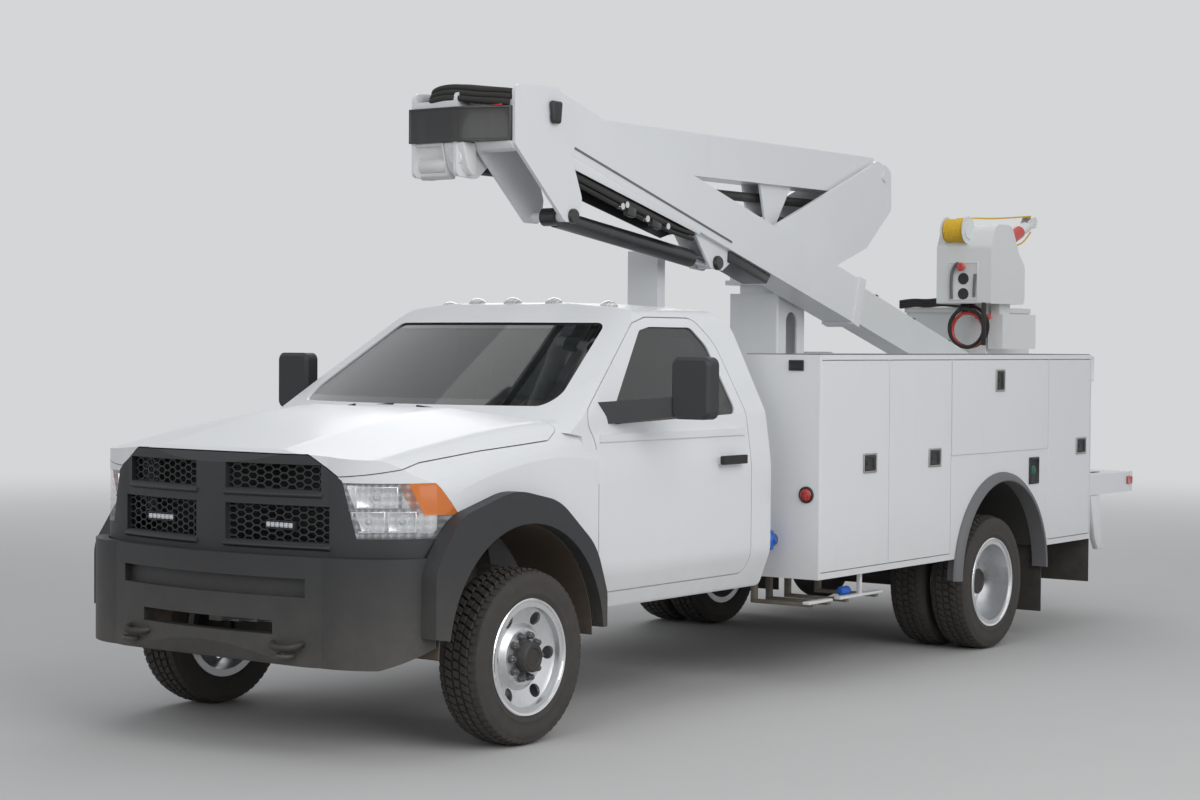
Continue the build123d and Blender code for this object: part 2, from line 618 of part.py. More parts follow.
def lamp_form(t):
    """The corner of the nose that a headlamp fills, drawn in by t."""
    with BuildPart() as form:
        side_plate(drawn_in(lamp_side, t), (500, 1100))
        add(end_form(drawn_in(lamp_end, t), (300, 1100)), mode=Mode.INTERSECT)
    return form.part


arch = (ARCH_SHIFT, AXLE_Z + ARCH_RISE)
with BuildPart() as front_fenders:
    add(nose_outer)
    add(nose_inner, mode=Mode.SUBTRACT)
    with BuildPart(mode=Mode.SUBTRACT):
        side_plate(drawn_in(hood_line, -BODY_SEAM), (-AMPLE, AMPLE))
        with Locations(behind_hood):
            Cylinder(HOOD_ARC - BODY_SEAM, AMPLE, mode=Mode.SUBTRACT)
    slab((-700, HOOD_REAR_X + 50), (-COWL_HALF, COWL_HALF), (1300, hood_top), Mode.SUBTRACT)
    slab((-700, FENDER_REAR_X), (-1100, 1100), (300, hood_top), Mode.SUBTRACT)
    slab((-700, FIREWALL_X - 10), (-1100, 1100), (FENDER_TOP_Z, hood_top), Mode.SUBTRACT)
    add(cab_near - fender_zone, mode=Mode.SUBTRACT)
    add(end_form(mirrored(grille_rows), (300, 1200)), mode=Mode.SUBTRACT)
    slab((300, 1100), (-1100, 1100), (300, 958), Mode.SUBTRACT)
    for side in (1, -1):
        y = sorted((side * 690, side * 1100))
        pin_y(*arch, y, ARCH_RADIUS, Mode.SUBTRACT)
        slab((arch[0] - ARCH_RADIUS, 700), y, (300, arch[1]), Mode.SUBTRACT)
        # Hinge pins of the cab doors, in the gap behind the fender.
        with Locations((st(CAB_HINGE_X), side * CAB_HALF_WIDTH, 760),
                       (st(CAB_HINGE_X), side * CAB_HALF_WIDTH, 1200)):
            Cylinder(CAB_HINGE_PIN, 120)
    add(lamp_form(0), mode=Mode.SUBTRACT)
    add(lamp_form(0).mirror(Plane.XZ), mode=Mode.SUBTRACT)
front_fenders.part.label = "front_fenders"
export_step(front_fenders.part, "parts/front_fenders.step")

with BuildPart() as headlamps:
    add(nose_outer)
    add(nose_form(50), mode=Mode.SUBTRACT)
    with BuildPart(mode=Mode.INTERSECT):
        add(lamp_form(LAMP_SEAM))
        add(lamp_form(LAMP_SEAM).mirror(Plane.XZ))
headlamps.part.label = "headlamps"
export_step(headlamps.part, "parts/headlamps.step")

# Grille: a deep surround with four openings, a slotted panel in them, and a band below the lamps.
opening_rows = ((90, 590, 1156, 1268), (90, 630, 932, 1092))
with BuildPart() as grille:
    add(nose_outer)
    add(nose_form(60), mode=Mode.SUBTRACT)
    add(end_form(drawn_in(mirrored(grille_rows), SEAT), (300, 1200)), mode=Mode.INTERSECT)
    for inner, outer, low, high in opening_rows:
        for y in both(inner, outer):
            slab((500, 1100), y, (low, high), Mode.SUBTRACT)
    # Flat panels of six-sided slots behind the openings, turned to follow the bow.
    for inner, outer, low, high in opening_rows:
        middle, rows = (inner + outer) / 2, int((high - low) / SLOT_PITCH[1]) + 1
        for side in (1, -1):
            turned = Plane(origin=(st(NOSE_X - 15 - PANEL_TURN * middle), side * middle, (low + high) / 2),
                           x_dir=(-side * PANEL_TURN, 1, 0), z_dir=(1, side * PANEL_TURN, 0))
            with BuildSketch(turned) as panel:
                Rectangle(outer - inner + 24, high - low + 24)
                for shift in (0, 0.5):
                    with Locations((shift * SLOT_PITCH[0], shift * SLOT_PITCH[1])):
                        with GridLocations(*SLOT_PITCH, 7, rows):
                            Polygon(*SLOT, mode=Mode.SUBTRACT)
            extrude(panel.sketch, amount=5)
    with BuildPart() as band:
        for y in both(740, 1100):
            slab((440, 1100), y, (GRILLE_BOTTOM_Z + SEAT, 958 - LAMP_SEAM))
        add(nose_outer, mode=Mode.INTERSECT)
        add(nose_form(20), mode=Mode.SUBTRACT)
        for y in both(690, 1100):
            pin_y(*arch, y, ARCH_RADIUS, Mode.SUBTRACT)
    add(band.part)
grille.part.label = "grille"
export_step(grille.part, "parts/grille.step")


# Bumper: a bowed bar as wide as the fenders, with a recess across it and an intake below.
def bumper_form(t):
    """The bumper's plan, drawn in by t, over its whole height."""
    with BuildPart() as form:
        with BuildSketch(Plane.XY.offset(BUMPER_BOTTOM_Z - 60)):
            bow_plan(FRONT_OVERHANG - t, (905 - t, 640 - 0.3 * t), (800 - 0.7 * t, 900 - 0.7 * t),
                     (590, CAB_HALF_WIDTH - 5 - t), (380, CAB_HALF_WIDTH - t))
        extrude(amount=GRILLE_BOTTOM_Z - BUMPER_BOTTOM_Z + 60)
    return form.part


bumper_side = [(380, 520, 0), (600, 490, 0), (815, BUMPER_BOTTOM_Z, 40), (940, BUMPER_BOTTOM_Z, 30),
               (995, 500, 60),
               (995, GRILLE_BOTTOM_Z, 10), (380, GRILLE_BOTTOM_Z, 0)]
with BuildPart() as front_bumper:
    add(bumper_form(0))
    add(bumper_form(60), mode=Mode.SUBTRACT)
    side_plate(bumper_side, (-AMPLE, AMPLE), Mode.INTERSECT)
    with BuildPart(mode=Mode.SUBTRACT):
        add(bumper_form(-5))
        add(bumper_form(35), mode=Mode.SUBTRACT)
        slab((600, 1100), (-560, 560), (705, 785), Mode.INTERSECT)
    slab((700, 1100), (-400, 400), (540, 600), Mode.SUBTRACT)
    slab((FRAME_FRONT_X + SEAT, 935), (-RAIL_OUT_Y, RAIL_OUT_Y), (rail_bottom + 30, RAIL_TOP_Z - 100))
    for y in both(690, 1100):
        pin_y(*arch, y, ARCH_RADIUS + 20, Mode.SUBTRACT)
    # Tow hooks below the recess.
    for side in (1, -1):
        with Locations((st(960), side * 480, 455)):
            Torus(34, 11)
front_bumper.part.label = "front_bumper"
export_step(front_bumper.part, "parts/front_bumper.step")

# Wheel arch flares: tapering lips that stand out from the fenders around the openings.
flare_rows = [(662, 540, 0), (662, 830, 150), (500, 1050, 200), (120, 1150, 400), (-200, 1085, 350),
              (-480, 860, 300),
              (-564, 640, 150), (-564, 480, 0), (300, 480, 0)]
nose_near = nose_form(-SEAT)
with BuildPart() as arch_flares:
    side_plate(flare_rows, (CAB_HALF_WIDTH - 60, CAB_HALF_WIDTH + FLARE_DEPTH))
    add(nose_near, mode=Mode.SUBTRACT)
    add(bumper_form(-SEAT), mode=Mode.SUBTRACT)
    pin_y(*arch, (CAB_HALF_WIDTH - 200, CAB_HALF_WIDTH + 200), ARCH_RADIUS + 4, Mode.SUBTRACT)
    slab((arch[0] - ARCH_RADIUS - 4, arch[0] + ARCH_RADIUS + 4), (600, 1200), (300, arch[1]), Mode.SUBTRACT)
    slab((-700, 800), (600, CAB_HALF_WIDTH - 25), (300, 1300), Mode.SUBTRACT)
    add(arch_flares.part.mirror(Plane.XZ))
arch_flares.part.label = "arch_flares"
export_step(arch_flares.part, "parts/arch_flares.step")

# Five low marker lamps on the roof: along, across, and how far the roof has dropped there.
lamp_places = ((-1310, 520, 23), (-1210, 250, 8), (-1190, 0, 6), (-1210, -250, 8), (-1310, -520, 23))
with BuildPart() as roof_lamps:
    for x, y, drop in lamp_places:
        with Locations((st(x), y, ROOF_Z - drop - ROOF_LAMP_SUNK)):
            Sphere(ROOF_LAMP_RADIUS)
    add(cab_near, mode=Mode.SUBTRACT)
roof_lamps.part.label = "roof_lamps"
export_step(roof_lamps.part, "parts/roof_lamps.step")

# Utility body: two side packs with open compartments, and a bed between them on sills.
inner_y = BODY_HALF_WIDTH - PACK_DEPTH
e1, e3, e4, e5 = BODY_FRONT_X - 26, MID_FRONT_X, MID_REAR_X, BODY_REAR_X + 10
e2 = (e1 + e3) / 2
cells = ((e1 - 2, e2 + 2, LOWER_DOOR_Z, UPPER_DOOR_Z), (e2 - 2, e3 + 2, LOWER_DOOR_Z, UPPER_DOOR_Z),
         (e3 - 2, e4 + 2, MID_DOOR_Z, UPPER_DOOR_Z), (e4 - 2, e5 + 2, LOWER_DOOR_Z, UPPER_DOOR_Z))
rebate = BODY_HALF_WIDTH - DOOR_THICK - SEAT
hinge = HINGE_PIN - HINGE_BITE
with BuildPart() as side_pack:
    slab((BODY_FRONT_X, BODY_REAR_X), (inner_y, BODY_HALF_WIDTH), (BODY_BOTTOM_Z, BODY_TOP_Z))
    for front, rear, low, high in cells:
        slab((front - 14, rear + 14), (inner_y + BODY_WALL, AMPLE), (low + 12, high - 12), Mode.SUBTRACT)
        slab((front, rear), (rebate, AMPLE), (low, high), Mode.SUBTRACT)
        if low == MID_DOOR_Z:
            with Locations(Location((st((front + rear) / 2), BODY_HALF_WIDTH, low + hinge), (0, 90, 0))):
                Cylinder(HINGE_PIN, front - rear - 20)
        else:
            with Locations((st(front - hinge), BODY_HALF_WIDTH, (low + high) / 2)):
                Cylinder(HINGE_PIN, high - low - 20)
    well = (WELL_X, AXLE_Z + WELL_RISE)
    pin_y(*well, (inner_y - 60, BODY_HALF_WIDTH + 5), WELL_RADIUS, Mode.SUBTRACT)
    slab((well[0] - WELL_RADIUS, well[0] + WELL_RADIUS), (inner_y - 60, BODY_HALF_WIDTH + 5),
         (400, well[1]),
         Mode.SUBTRACT)
with BuildPart() as body_shell:
    add(side_pack.part)
    add(side_pack.part.mirror(Plane.XZ))
    slab((BODY_FRONT_X, BODY_REAR_X), (SEAT - inner_y, inner_y - SEAT), (BED_TOP_Z - BED_THICK, BED_TOP_Z))
    for x in (BODY_FRONT_X - 100, BODY_FRONT_X - 784, BODY_REAR_X + 99):
        slab((x - 40, x + 40), (-RAIL_OUT_Y, RAIL_OUT_Y), (RAIL_TOP_Z, BED_TOP_Z - BED_THICK))
body_shell.part.label = "body_shell"
export_step(body_shell.part, "parts/body_shell.step")

# Compartment doors: shallow pans with a seam all round, each against its rebate.
door_names = ("front", "second", "middle", "rear")
for side, word in ((1, "left"), (-1, "right")):
    for (front, rear, low, high), name in zip(cells, door_names):
        edge = (front - BODY_SEAM, rear + BODY_SEAM)
        back = BODY_HALF_WIDTH - DOOR_THICK
        with BuildPart() as pan:
            slab(edge, sorted((side * back, side * BODY_HALF_WIDTH)), (low + BODY_SEAM, high - BODY_SEAM))
            slab((edge[0] - 25, edge[1] + 25), sorted((side * (back - 1), side * (BODY_HALF_WIDTH - 4))),
                 (low + 30, high - 30), Mode.SUBTRACT)
        pan.part.label = "body_door_" + name + "_" + word
        export_step(pan.part, "parts/body_door_" + name + "_" + word + ".step")

# Tail shelf behind the body, with a box frame below.
shelf_y = BODY_HALF_WIDTH - 4
with BuildPart() as tail_shelf:
    slab((BODY_REAR_X - SEAT, SHELF_END_X), (-shelf_y, shelf_y), (BED_TOP_Z - SHELF_DEPTH, BED_TOP_Z))
    slab((BODY_REAR_X - 40, SHELF_END_X + 40), (-shelf_y + 40, shelf_y - 40),
         (BED_TOP_Z - SHELF_DEPTH - 1, BED_TOP_Z - 30), Mode.SUBTRACT)
    for y in both(RAIL_OUT_Y - 60, RAIL_OUT_Y):
        slab((BODY_REAR_X - 20, SHELF_END_X + 30), y, (RAIL_TOP_Z, BED_TOP_Z - 20))
tail_shelf.part.label = "tail_shelf"
export_step(tail_shelf.part, "parts/tail_shelf.step")

with BuildPart() as tail_lamps:
    for side in (1, -1):
        for y in (BODY_HALF_WIDTH - 84, BODY_HALF_WIDTH - 234):
            with Locations(Location((st(SHELF_END_X) - 7, side * y, BED_TOP_Z - 65), (0, 90, 0))):
                Cylinder(46, 14)
tail_lamps.part.label = "tail_lamps"
export_step(tail_lamps.part, "parts/tail_lamps.step")

with BuildPart() as mudflaps:
    for y in both(inner_y + 6, BODY_HALF_WIDTH - 14):
        slab((WELL_X - WELL_RADIUS - 20, WELL_X - WELL_RADIUS - 30), y, (160, BODY_BOTTOM_Z))
mudflaps.part.label = "mudflaps"
export_step(mudflaps.part, "parts/mudflaps.step")

# Pedestal: a square box column with round-topped openings and the slewing ring.
ped_x = (SLEW_X + PEDESTAL_LONG / 2, SLEW_X - PEDESTAL_LONG / 2)
ped_y = (-PEDESTAL_WIDE / 2, PEDESTAL_WIDE / 2)
with BuildPart() as pedestal:
    slab(ped_x, ped_y, (BED_TOP_Z, PEDESTAL_TOP_Z))
    fillet(pedestal.edges().filter_by(Axis.Z), 14)
    slab((ped_x[0] - PEDESTAL_WALL, ped_x[1] + PEDESTAL_WALL),
         (ped_y[0] + PEDESTAL_WALL, ped_y[1] - PEDESTAL_WALL),
         (BED_TOP_Z + PEDESTAL_WALL, PEDESTAL_TOP_Z - 25), Mode.SUBTRACT)
    slab((SLEW_X + 62, SLEW_X - 62), (ped_y[0] - 5, ped_y[1] + 5), (1500, 1930), Mode.SUBTRACT)
    pin_y(SLEW_X, 1930, (ped_y[0] - 5, ped_y[1] + 5), 62, Mode.SUBTRACT)
    slab((SLEW_X + 280, SLEW_X - 280), (-280, 280), (BED_TOP_Z, BED_TOP_Z + 20))
    with Locations((st(SLEW_X), 0, PEDESTAL_TOP_Z + RING_HEIGHT / 2)):
        Cylinder(RING_RADIUS, RING_HEIGHT)
pedestal.part.label = "pedestal"
export_step(pedestal.part, "parts/pedestal.step")

# Boom rest post behind the cab.
with BuildPart() as boom_rest:
    slab((REST_X, REST_X - 72), (-50, 150), (BED_TOP_Z, REST_TOP_Z))
    slab((REST_X + 10, REST_X - 90), (-90, 190), (BED_TOP_Z, BED_TOP_Z + 14))
boom_rest.part.label = "boom_rest"
export_step(boom_rest.part, "parts/boom_rest.step")

# Turntable: plate on the ring and two riser plates that lean to the rear.
table_z = PEDESTAL_TOP_Z + RING_HEIGHT + RUN_GAP
riser_top = table_z + TABLE_THICK
# Outline from the lower pivot: forward, up, corner radius.
riser = [(1340, riser_top - LOWER_PIVOT_Z, 0), (1300, -365, 40), (140, 70, 30), (-10, 80, 60),
         (-90, 35, 40),
         (-95, -205, 30), (220, -460, 60), (545, -567, 60), (910, riser_top - LOWER_PIVOT_Z, 0)]
link_pivot = shifted(LOWER_PIVOT, LINK_OFFSET)
cyl_base = shifted(LOWER_PIVOT, LOWER_CYL_BASE)
riser_out = RISER_INNER_Y + RISER_THICK
with BuildPart() as turntable:
    with BuildSketch(Plane.XY.offset(table_z)):
        with Locations((st(SLEW_X - 20), 0)):
            RectangleRounded(440, 372, 30)
    extrude(amount=TABLE_THICK)
    for y in both(RISER_INNER_Y, riser_out):
        side_plate([(*shifted(LOWER_PIVOT, p), p[2]) for p in riser], y)
    slab((SLEW_X + 80, SLEW_X + 40), (-RISER_INNER_Y - 5, RISER_INNER_Y + 5), (table_z + 5, 2420))
    pin_y(*LOWER_PIVOT, (-riser_out - 12, riser_out + 12), PIN_RADIUS)
    pin_y(*link_pivot, (-RISER_INNER_Y - 2, RISER_INNER_Y + 2), LINK_PIN_RADIUS)
    pin_y(*cyl_base, (-RISER_INNER_Y - 2, RISER_INNER_Y + 2), BASE_PIN_RADIUS)
turntable.part.label = "turntable"
export_step(turntable.part, "parts/turntable.step")

# Lower boom: a level box tube with eyes at both ends and a gusset for its cylinder.
lower_lug = shifted(LOWER_PIVOT, LOWER_LUG)
half_tall = LOWER_TALL / 2
half_wide = LOWER_WIDE / 2
low_z = (LOWER_PIVOT_Z - half_tall, LOWER_PIVOT_Z + half_tall)
with BuildPart() as lower_boom:
    slab((LOWER_PIVOT[0] + 60, LOWER_FRONT[0] - 60), (-half_wide, half_wide), low_z)
    for end in (LOWER_PIVOT, LOWER_FRONT):
        pin_y(*end, (-half_wide, half_wide), half_tall - 20)
    slab((LOWER_PIVOT[0] + 160, LOWER_FRONT[0] - 160), (-half_wide + BOOM_WALL, half_wide - BOOM_WALL),
         (low_z[0] + BOOM_WALL, low_z[1] - BOOM_WALL), Mode.SUBTRACT)
    for y in both(52, 66):
        side_plate([(lower_lug[0] - 230, low_z[0] + 4, 0), (lower_lug[0] - 60, lower_lug[1] - 30, 20),
                    (lower_lug[0] + 50, lower_lug[1] - 30, 20), (lower_lug[0] + 120, low_z[0] + 4, 0)], y)
    for end in (LOWER_PIVOT, LOWER_FRONT):
        pin_y(*end, (-half_wide - 5, half_wide + 5), PIN_RADIUS + PIN_GAP, Mode.SUBTRACT)
lower_boom.part.label = "lower_boom"
export_step(lower_boom.part, "parts/lower_boom.step")

# Levelling link below the lower boom.
link_front = shifted(link_pivot, (LOWER_LENGTH, 0))
with BuildPart() as level_link:
    strut(along(link_pivot, link_front, 40), along(link_front, link_pivot, 40), 0, LINK_RADIUS)
    for end in (link_pivot, link_front):
        pin_y(*end, (-30, 30), LINK_PIN_RADIUS + 20)
        pin_y(*end, (-35, 35), LINK_PIN_RADIUS + PIN_GAP, Mode.SUBTRACT)
level_link.part.label = "level_link"
export_step(level_link.part, "parts/level_link.step")

# Lower cylinder, seen between the riser plates.
with BuildPart() as lower_barrel:
    strut(along(cyl_base, lower_lug, 30), along(cyl_base, lower_lug, 850), 0, CYL_RADIUS)
    pin_y(*cyl_base, (-40, 40), BASE_PIN_RADIUS + 22)
    pin_y(*cyl_base, (-45, 45), BASE_PIN_RADIUS + PIN_GAP, Mode.SUBTRACT)
    strut(along(cyl_base, lower_lug, 110), along(cyl_base, lower_lug, 860), 0, ROD_RADIUS + PIN_GAP,
          Mode.SUBTRACT)
lower_barrel.part.label = "lower_cylinder_barrel"
export_step(lower_barrel.part, "parts/lower_cylinder_barrel.step")
with BuildPart() as lower_rod:
    strut(along(cyl_base, lower_lug, 130), along(lower_lug, cyl_base, 20), 0, ROD_RADIUS)
    pin_y(*lower_lug, (-36, 36), ROD_RADIUS + 6)
lower_rod.part.label = "lower_cylinder_rod"
export_step(lower_rod.part, "parts/lower_cylinder_rod.step")

# Elbow: four plates joined by front covers, which carry both booms.
upper_base = shifted(UPPER_PIVOT, UPPER_CYL_BASE)
y_mid = (RISER_INNER_Y, RISER_INNER_Y + 20)
y_far = (-y_mid[1], -y_mid[0])
y_near = (UPPER_Y[1] + 12, UPPER_Y[1] + 32)
y_inner = (UPPER_Y[0] - 32, UPPER_Y[0] - 12)
# Outlines of the plates from the pivot that each holds: forward, up, corner radius.
low_plate = [(230, 155, 40), (230, -255, 30), (70, -265, 60), (-110, -125, 60), (-140, 135, 40),
             (-70, 175, 40)]
high_plate = [(305, 113, 40), (305, -172, 30), (-100, -532, 40), (-210, -532, 40), (-240, -412, 60),
              (-120, -132, 80),
              (-100, 68, 60), (-40, 128, 50)]
low_plate = [(*shifted(LOWER_FRONT, p), p[2]) for p in low_plate]
high_plate = [(*shifted(UPPER_PIVOT, p), p[2]) for p in high_plate]
cover_x = (LOWER_FRONT[0] + 230, UPPER_PIVOT[0] + 305)
with BuildPart() as elbow:
    for y in (y_far, y_mid):
        side_plate(low_plate, y)
    for y in (y_inner, y_near):
        side_plate(high_plate, y)
    slab((cover_x[0], cover_x[0] - 20), (y_far[0], y_mid[1]), (LOWER_PIVOT_Z - 75, LOWER_PIVOT_Z + 110))
    slab((cover_x[1], cover_x[1] - 20), (y_inner[0], y_near[1]),
         (UPPER_PIVOT[1] - 130, UPPER_PIVOT[1] + 40))
    slab((cover_x[1] - 5, cover_x[1] - 45), (y_mid[1] - 5, y_inner[0] + 5),
         (LOWER_PIVOT_Z - 90, LOWER_PIVOT_Z + 110))
    pin_y(*LOWER_FRONT, (y_far[0] - 12, y_mid[1] + 8), PIN_RADIUS)
    pin_y(*link_front, (y_far[0] - 8, y_mid[1] + 8), LINK_PIN_RADIUS)
    pin_y(*UPPER_PIVOT, (y_inner[0] - 5, y_near[1] + 14), PIN_RADIUS)
    pin_y(*upper_base, (y_inner[0] - 5, y_near[1] + 10), BASE_PIN_RADIUS)
elbow.part.label = "elbow"
export_step(elbow.part, "parts/elbow.step")

# Upper boom: a hollow box from the elbow down to the rear, with wear pads in its mouth.
boom_axis = Plane(origin=(st(UPPER_PIVOT[0]), 0, UPPER_PIVOT[1]),
                  x_dir=(-math.cos(SLOPE), 0, -math.sin(SLOPE)), z_dir=(0, 1, 0))
half_upper = UPPER_TALL / 2
inner_half = half_upper - BOOM_WALL - INNER_GAP
inner_y0, inner_y1 = UPPER_Y[0] + BOOM_WALL + INNER_GAP, UPPER_Y[1] - BOOM_WALL - INNER_GAP
pad = INNER_GAP - RUN_GAP


def boom_box(x, y, z, mode=Mode.ADD):
    """A block in the boom's own axes: along it, above it, and across."""
    with BuildSketch(boom_axis.offset(z[0])) as face:
        with Locations(((x[0] + x[1]) / 2, (y[0] + y[1]) / 2)):
            Rectangle(abs(x[1] - x[0]), abs(y[1] - y[0]))
    extrude(face.sketch, amount=z[1] - z[0], mode=mode)


upper_lug = shifted(UPPER_PIVOT, UPPER_LUG)
with BuildPart() as upper_boom:
    boom_box((60, UPPER_LENGTH), (-half_upper, half_upper), UPPER_Y)
    boom_box((UPPER_LENGTH - 70, UPPER_LENGTH), (-half_upper - 12, half_upper + 12),
             (UPPER_Y[0] - 12, UPPER_Y[1] + 12))
    pin_y(*UPPER_PIVOT, UPPER_Y, half_upper - 40)
    boom_box((200, UPPER_LENGTH + 5), (-half_upper + BOOM_WALL, half_upper - BOOM_WALL),
             (UPPER_Y[0] + BOOM_WALL, UPPER_Y[1] - BOOM_WALL), Mode.SUBTRACT)
    pin_y(*UPPER_PIVOT, (UPPER_Y[0] - 5, UPPER_Y[1] + 5), PIN_RADIUS + PIN_GAP, Mode.SUBTRACT)
    for y in ((UPPER_Y[0] + 30, UPPER_Y[0] + 46), (UPPER_Y[1] - 46, UPPER_Y[1] - 30)):
        a, b = boom_point(1420, -half_upper + 4), boom_point(1880, -half_upper + 4)
        side_plate([(*a, 0), (*shifted(upper_lug, (60, -30)), 20), (*shifted(upper_lug, (-60, -40)), 20),
                    (*b, 0)], y)
    mouth = (UPPER_LENGTH - 90, UPPER_LENGTH - 10)
    for y in both(half_upper - BOOM_WALL - pad, half_upper - BOOM_WALL):
        boom_box(mouth, y, (inner_y0 + 20, inner_y1 - 20))
    for y in ((inner_y0 - INNER_GAP, inner_y0 - RUN_GAP), (inner_y1 + RUN_GAP, inner_y1 + INNER_GAP)):
        boom_box(mouth, (-60, 60), y)
upper_boom.part.label = "upper_boom"
export_step(upper_boom.part, "parts/upper_boom.step")

# Inner boom: slides in the upper one on pads at its hidden end; clevis ears hold the tip pin.
inner_start = UPPER_LENGTH - INNER_OVERLAP
with BuildPart() as inner_boom:
    boom_box((inner_start, INNER_TIP), (-inner_half, inner_half), (inner_y0, inner_y1))
    boom_box((inner_start - 5, INNER_TIP - 30), (-inner_half + 8, inner_half - 8),
             (inner_y0 + 8, inner_y1 - 8),
             Mode.SUBTRACT)
    for y in both(inner_half, inner_half + pad):
        boom_box((inner_start + 10, inner_start + 90), y, (inner_y0 + 20, inner_y1 - 20))
    for y in ((inner_y0 - pad, inner_y0), (inner_y1, inner_y1 + pad)):
        boom_box((inner_start + 10, inner_start + 90), (-60, 60), y)
    for y in ((inner_y0, inner_y0 + 18), (inner_y1 - 18, inner_y1)):
        boom_box((INNER_TIP - 10, INNER_TIP + TIP_PIN), (-EAR_RADIUS, EAR_RADIUS), y)
        pin_y(*TIP, y, EAR_RADIUS)
    pin_y(*TIP, (inner_y0 - 6, inner_y1 + 6), TIP_PIN_RADIUS)
inner_boom.part.label = "inner_boom"
export_step(inner_boom.part, "parts/inner_boom.step")

# Upper cylinder below the upper boom.
cyl_y = (UPPER_Y[0] + UPPER_Y[1]) / 2
with BuildPart() as upper_barrel:
    strut(along(upper_base, upper_lug, 30), along(upper_base, upper_lug, 1250), cyl_y, CYL_RADIUS)
    pin_y(*upper_base, (cyl_y - 45, cyl_y + 45), BASE_PIN_RADIUS + 20)
    pin_y(*upper_base, (cyl_y - 50, cyl_y + 50), BASE_PIN_RADIUS + PIN_GAP, Mode.SUBTRACT)
    strut(along(upper_base, upper_lug, 120), along(upper_base, upper_lug, 1260), cyl_y,
          ROD_RADIUS + PIN_GAP,
          Mode.SUBTRACT)
upper_barrel.part.label = "upper_cylinder_barrel"
export_step(upper_barrel.part, "parts/upper_cylinder_barrel.step")
with BuildPart() as upper_rod:
    strut(along(upper_base, upper_lug, 140), along(upper_lug, upper_base, 20), cyl_y, ROD_RADIUS)
    pin_y(*upper_lug, (cyl_y - 42, cyl_y + 42), ROD_RADIUS + 6)
upper_rod.part.label = "upper_cylinder_rod"
export_step(upper_rod.part, "parts/upper_cylinder_rod.step")

# Boom tip: hub and post, the moulded winch housing, a control box, the jib and the bucket's bracket.
bucket_x = (BUCKET_FRONT_X, BUCKET_REAR_X)
housing = [(480, 2075, 12), (480, 2450, 60), (410, 2600, 90), (175, 2600, 100), (75, 2420, 60),
           (-20, 2330, 60),
           (-20, 2075, 40)]
with BuildPart() as boom_tip:
    side_plate([(BUCKET_FRONT_X + a, z, r) for a, z, r in housing], (BUCKET_Y[1] - 100, BUCKET_Y[1] + 300))
    pin_y(*TIP, (inner_y0 + 21, inner_y1 - 21), 50)
    slab((TIP[0] + 10, TIP[0] - EAR_RADIUS - 20), (inner_y0 + 21, inner_y1 - 21), (TIP[1] - 45, 2080))
    pin_y(*TIP, (inner_y0, inner_y1), TIP_PIN_RADIUS + PIN_GAP, Mode.SUBTRACT)
    # Bracket along the bucket's wall.
    slab((TIP[0] - EAR_RADIUS - 8, BUCKET_FRONT_X - 230), (BUCKET_Y[1] + SEAT, BUCKET_Y[1] + 50),
         (TIP[1] + 30, TIP[1] + 95))
    # Control box, drum, jib and its head.
    slab((BUCKET_FRONT_X + 275, BUCKET_FRONT_X - 226), (BUCKET_Y[1] + 180, BUCKET_Y[1] + 285), (1778, 2010))
    slab((BUCKET_FRONT_X + 235, BUCKET_FRONT_X + 75), (BUCKET_Y[1] + 180, BUCKET_Y[1] + 240), (1990, 2090))
    pin_y(BUCKET_FRONT_X + 470, 2560, (BUCKET_Y[1] - 45, BUCKET_Y[1] + 134), 58)
    jib = ((BUCKET_FRONT_X + 115, 2410), (BUCKET_FRONT_X - 485, 2640))
    strut(*jib, cyl_y, 38)
    for y in ((cyl_y - 34, cyl_y - 22), (cyl_y + 22, cyl_y + 34)):
        side_plate([(*shifted(jib[1], p), 12) for p in ((60, -40), (60, 20), (-30, 60), (-70, 30),
                                                        (-50, -20))], y)
    pin_y(jib[1][0] - 30, jib[1][1] + 16, (cyl_y - 34, cyl_y + 34), 8)
    pin_y(jib[1][0] - 30, jib[1][1] + 16, (cyl_y - 14, cyl_y + 14), 26)
boom_tip.part.label = "boom_tip"
export_step(boom_tip.part, "parts/boom_tip.step")

# Bucket: an open tub with a thick lip.
with BuildPart() as bucket:
    slab(bucket_x, BUCKET_Y, (BUCKET_BOTTOM_Z, BUCKET_TOP_Z))
    fillet(bucket.edges().filter_by(Axis.Z), 60)
    offset(amount=-BUCKET_WALL, openings=bucket.faces().sort_by(Axis.Z)[-1])
    with BuildPart() as lip:
        slab((bucket_x[0] + 14, bucket_x[1]), (BUCKET_Y[0] - 14, BUCKET_Y[1] + 14),
             (BUCKET_TOP_Z - 34, BUCKET_TOP_Z))
        fillet(lip.edges().filter_by(Axis.Z), 70)
        slab((bucket_x[0] - 6, bucket_x[1] + 6), (BUCKET_Y[0] + 6, BUCKET_Y[1] - 6),
             (BUCKET_TOP_Z - 40, BUCKET_TOP_Z + 5),
             Mode.SUBTRACT)
    add(lip.part)
    slab((bucket_x[0] - BUCKET_WALL, bucket_x[1] + BUCKET_WALL),
         (BUCKET_Y[0] + BUCKET_WALL, BUCKET_Y[1] - BUCKET_WALL),
         (BUCKET_TOP_Z - 40, BUCKET_TOP_Z + 5), Mode.SUBTRACT)
bucket.part.label = "bucket"
export_step(bucket.part, "parts/bucket.step")


# Wheels: each is turned about its own axle line.
def ring_at(x, y, profile):
    """A turned piece about a crosswise axle line: profile points are (across, radius)."""
    plane = Plane(origin=(x, y, AXLE_Z), x_dir=(0, 1, 0), z_dir=(1, 0, 0))
    with BuildSketch(plane) as face:
        with BuildLine():
            Polyline(*profile, close=True)
        make_face()
    revolve(face.sketch, axis=Axis((x, y, AXLE_Z), (0, 1, 0)))


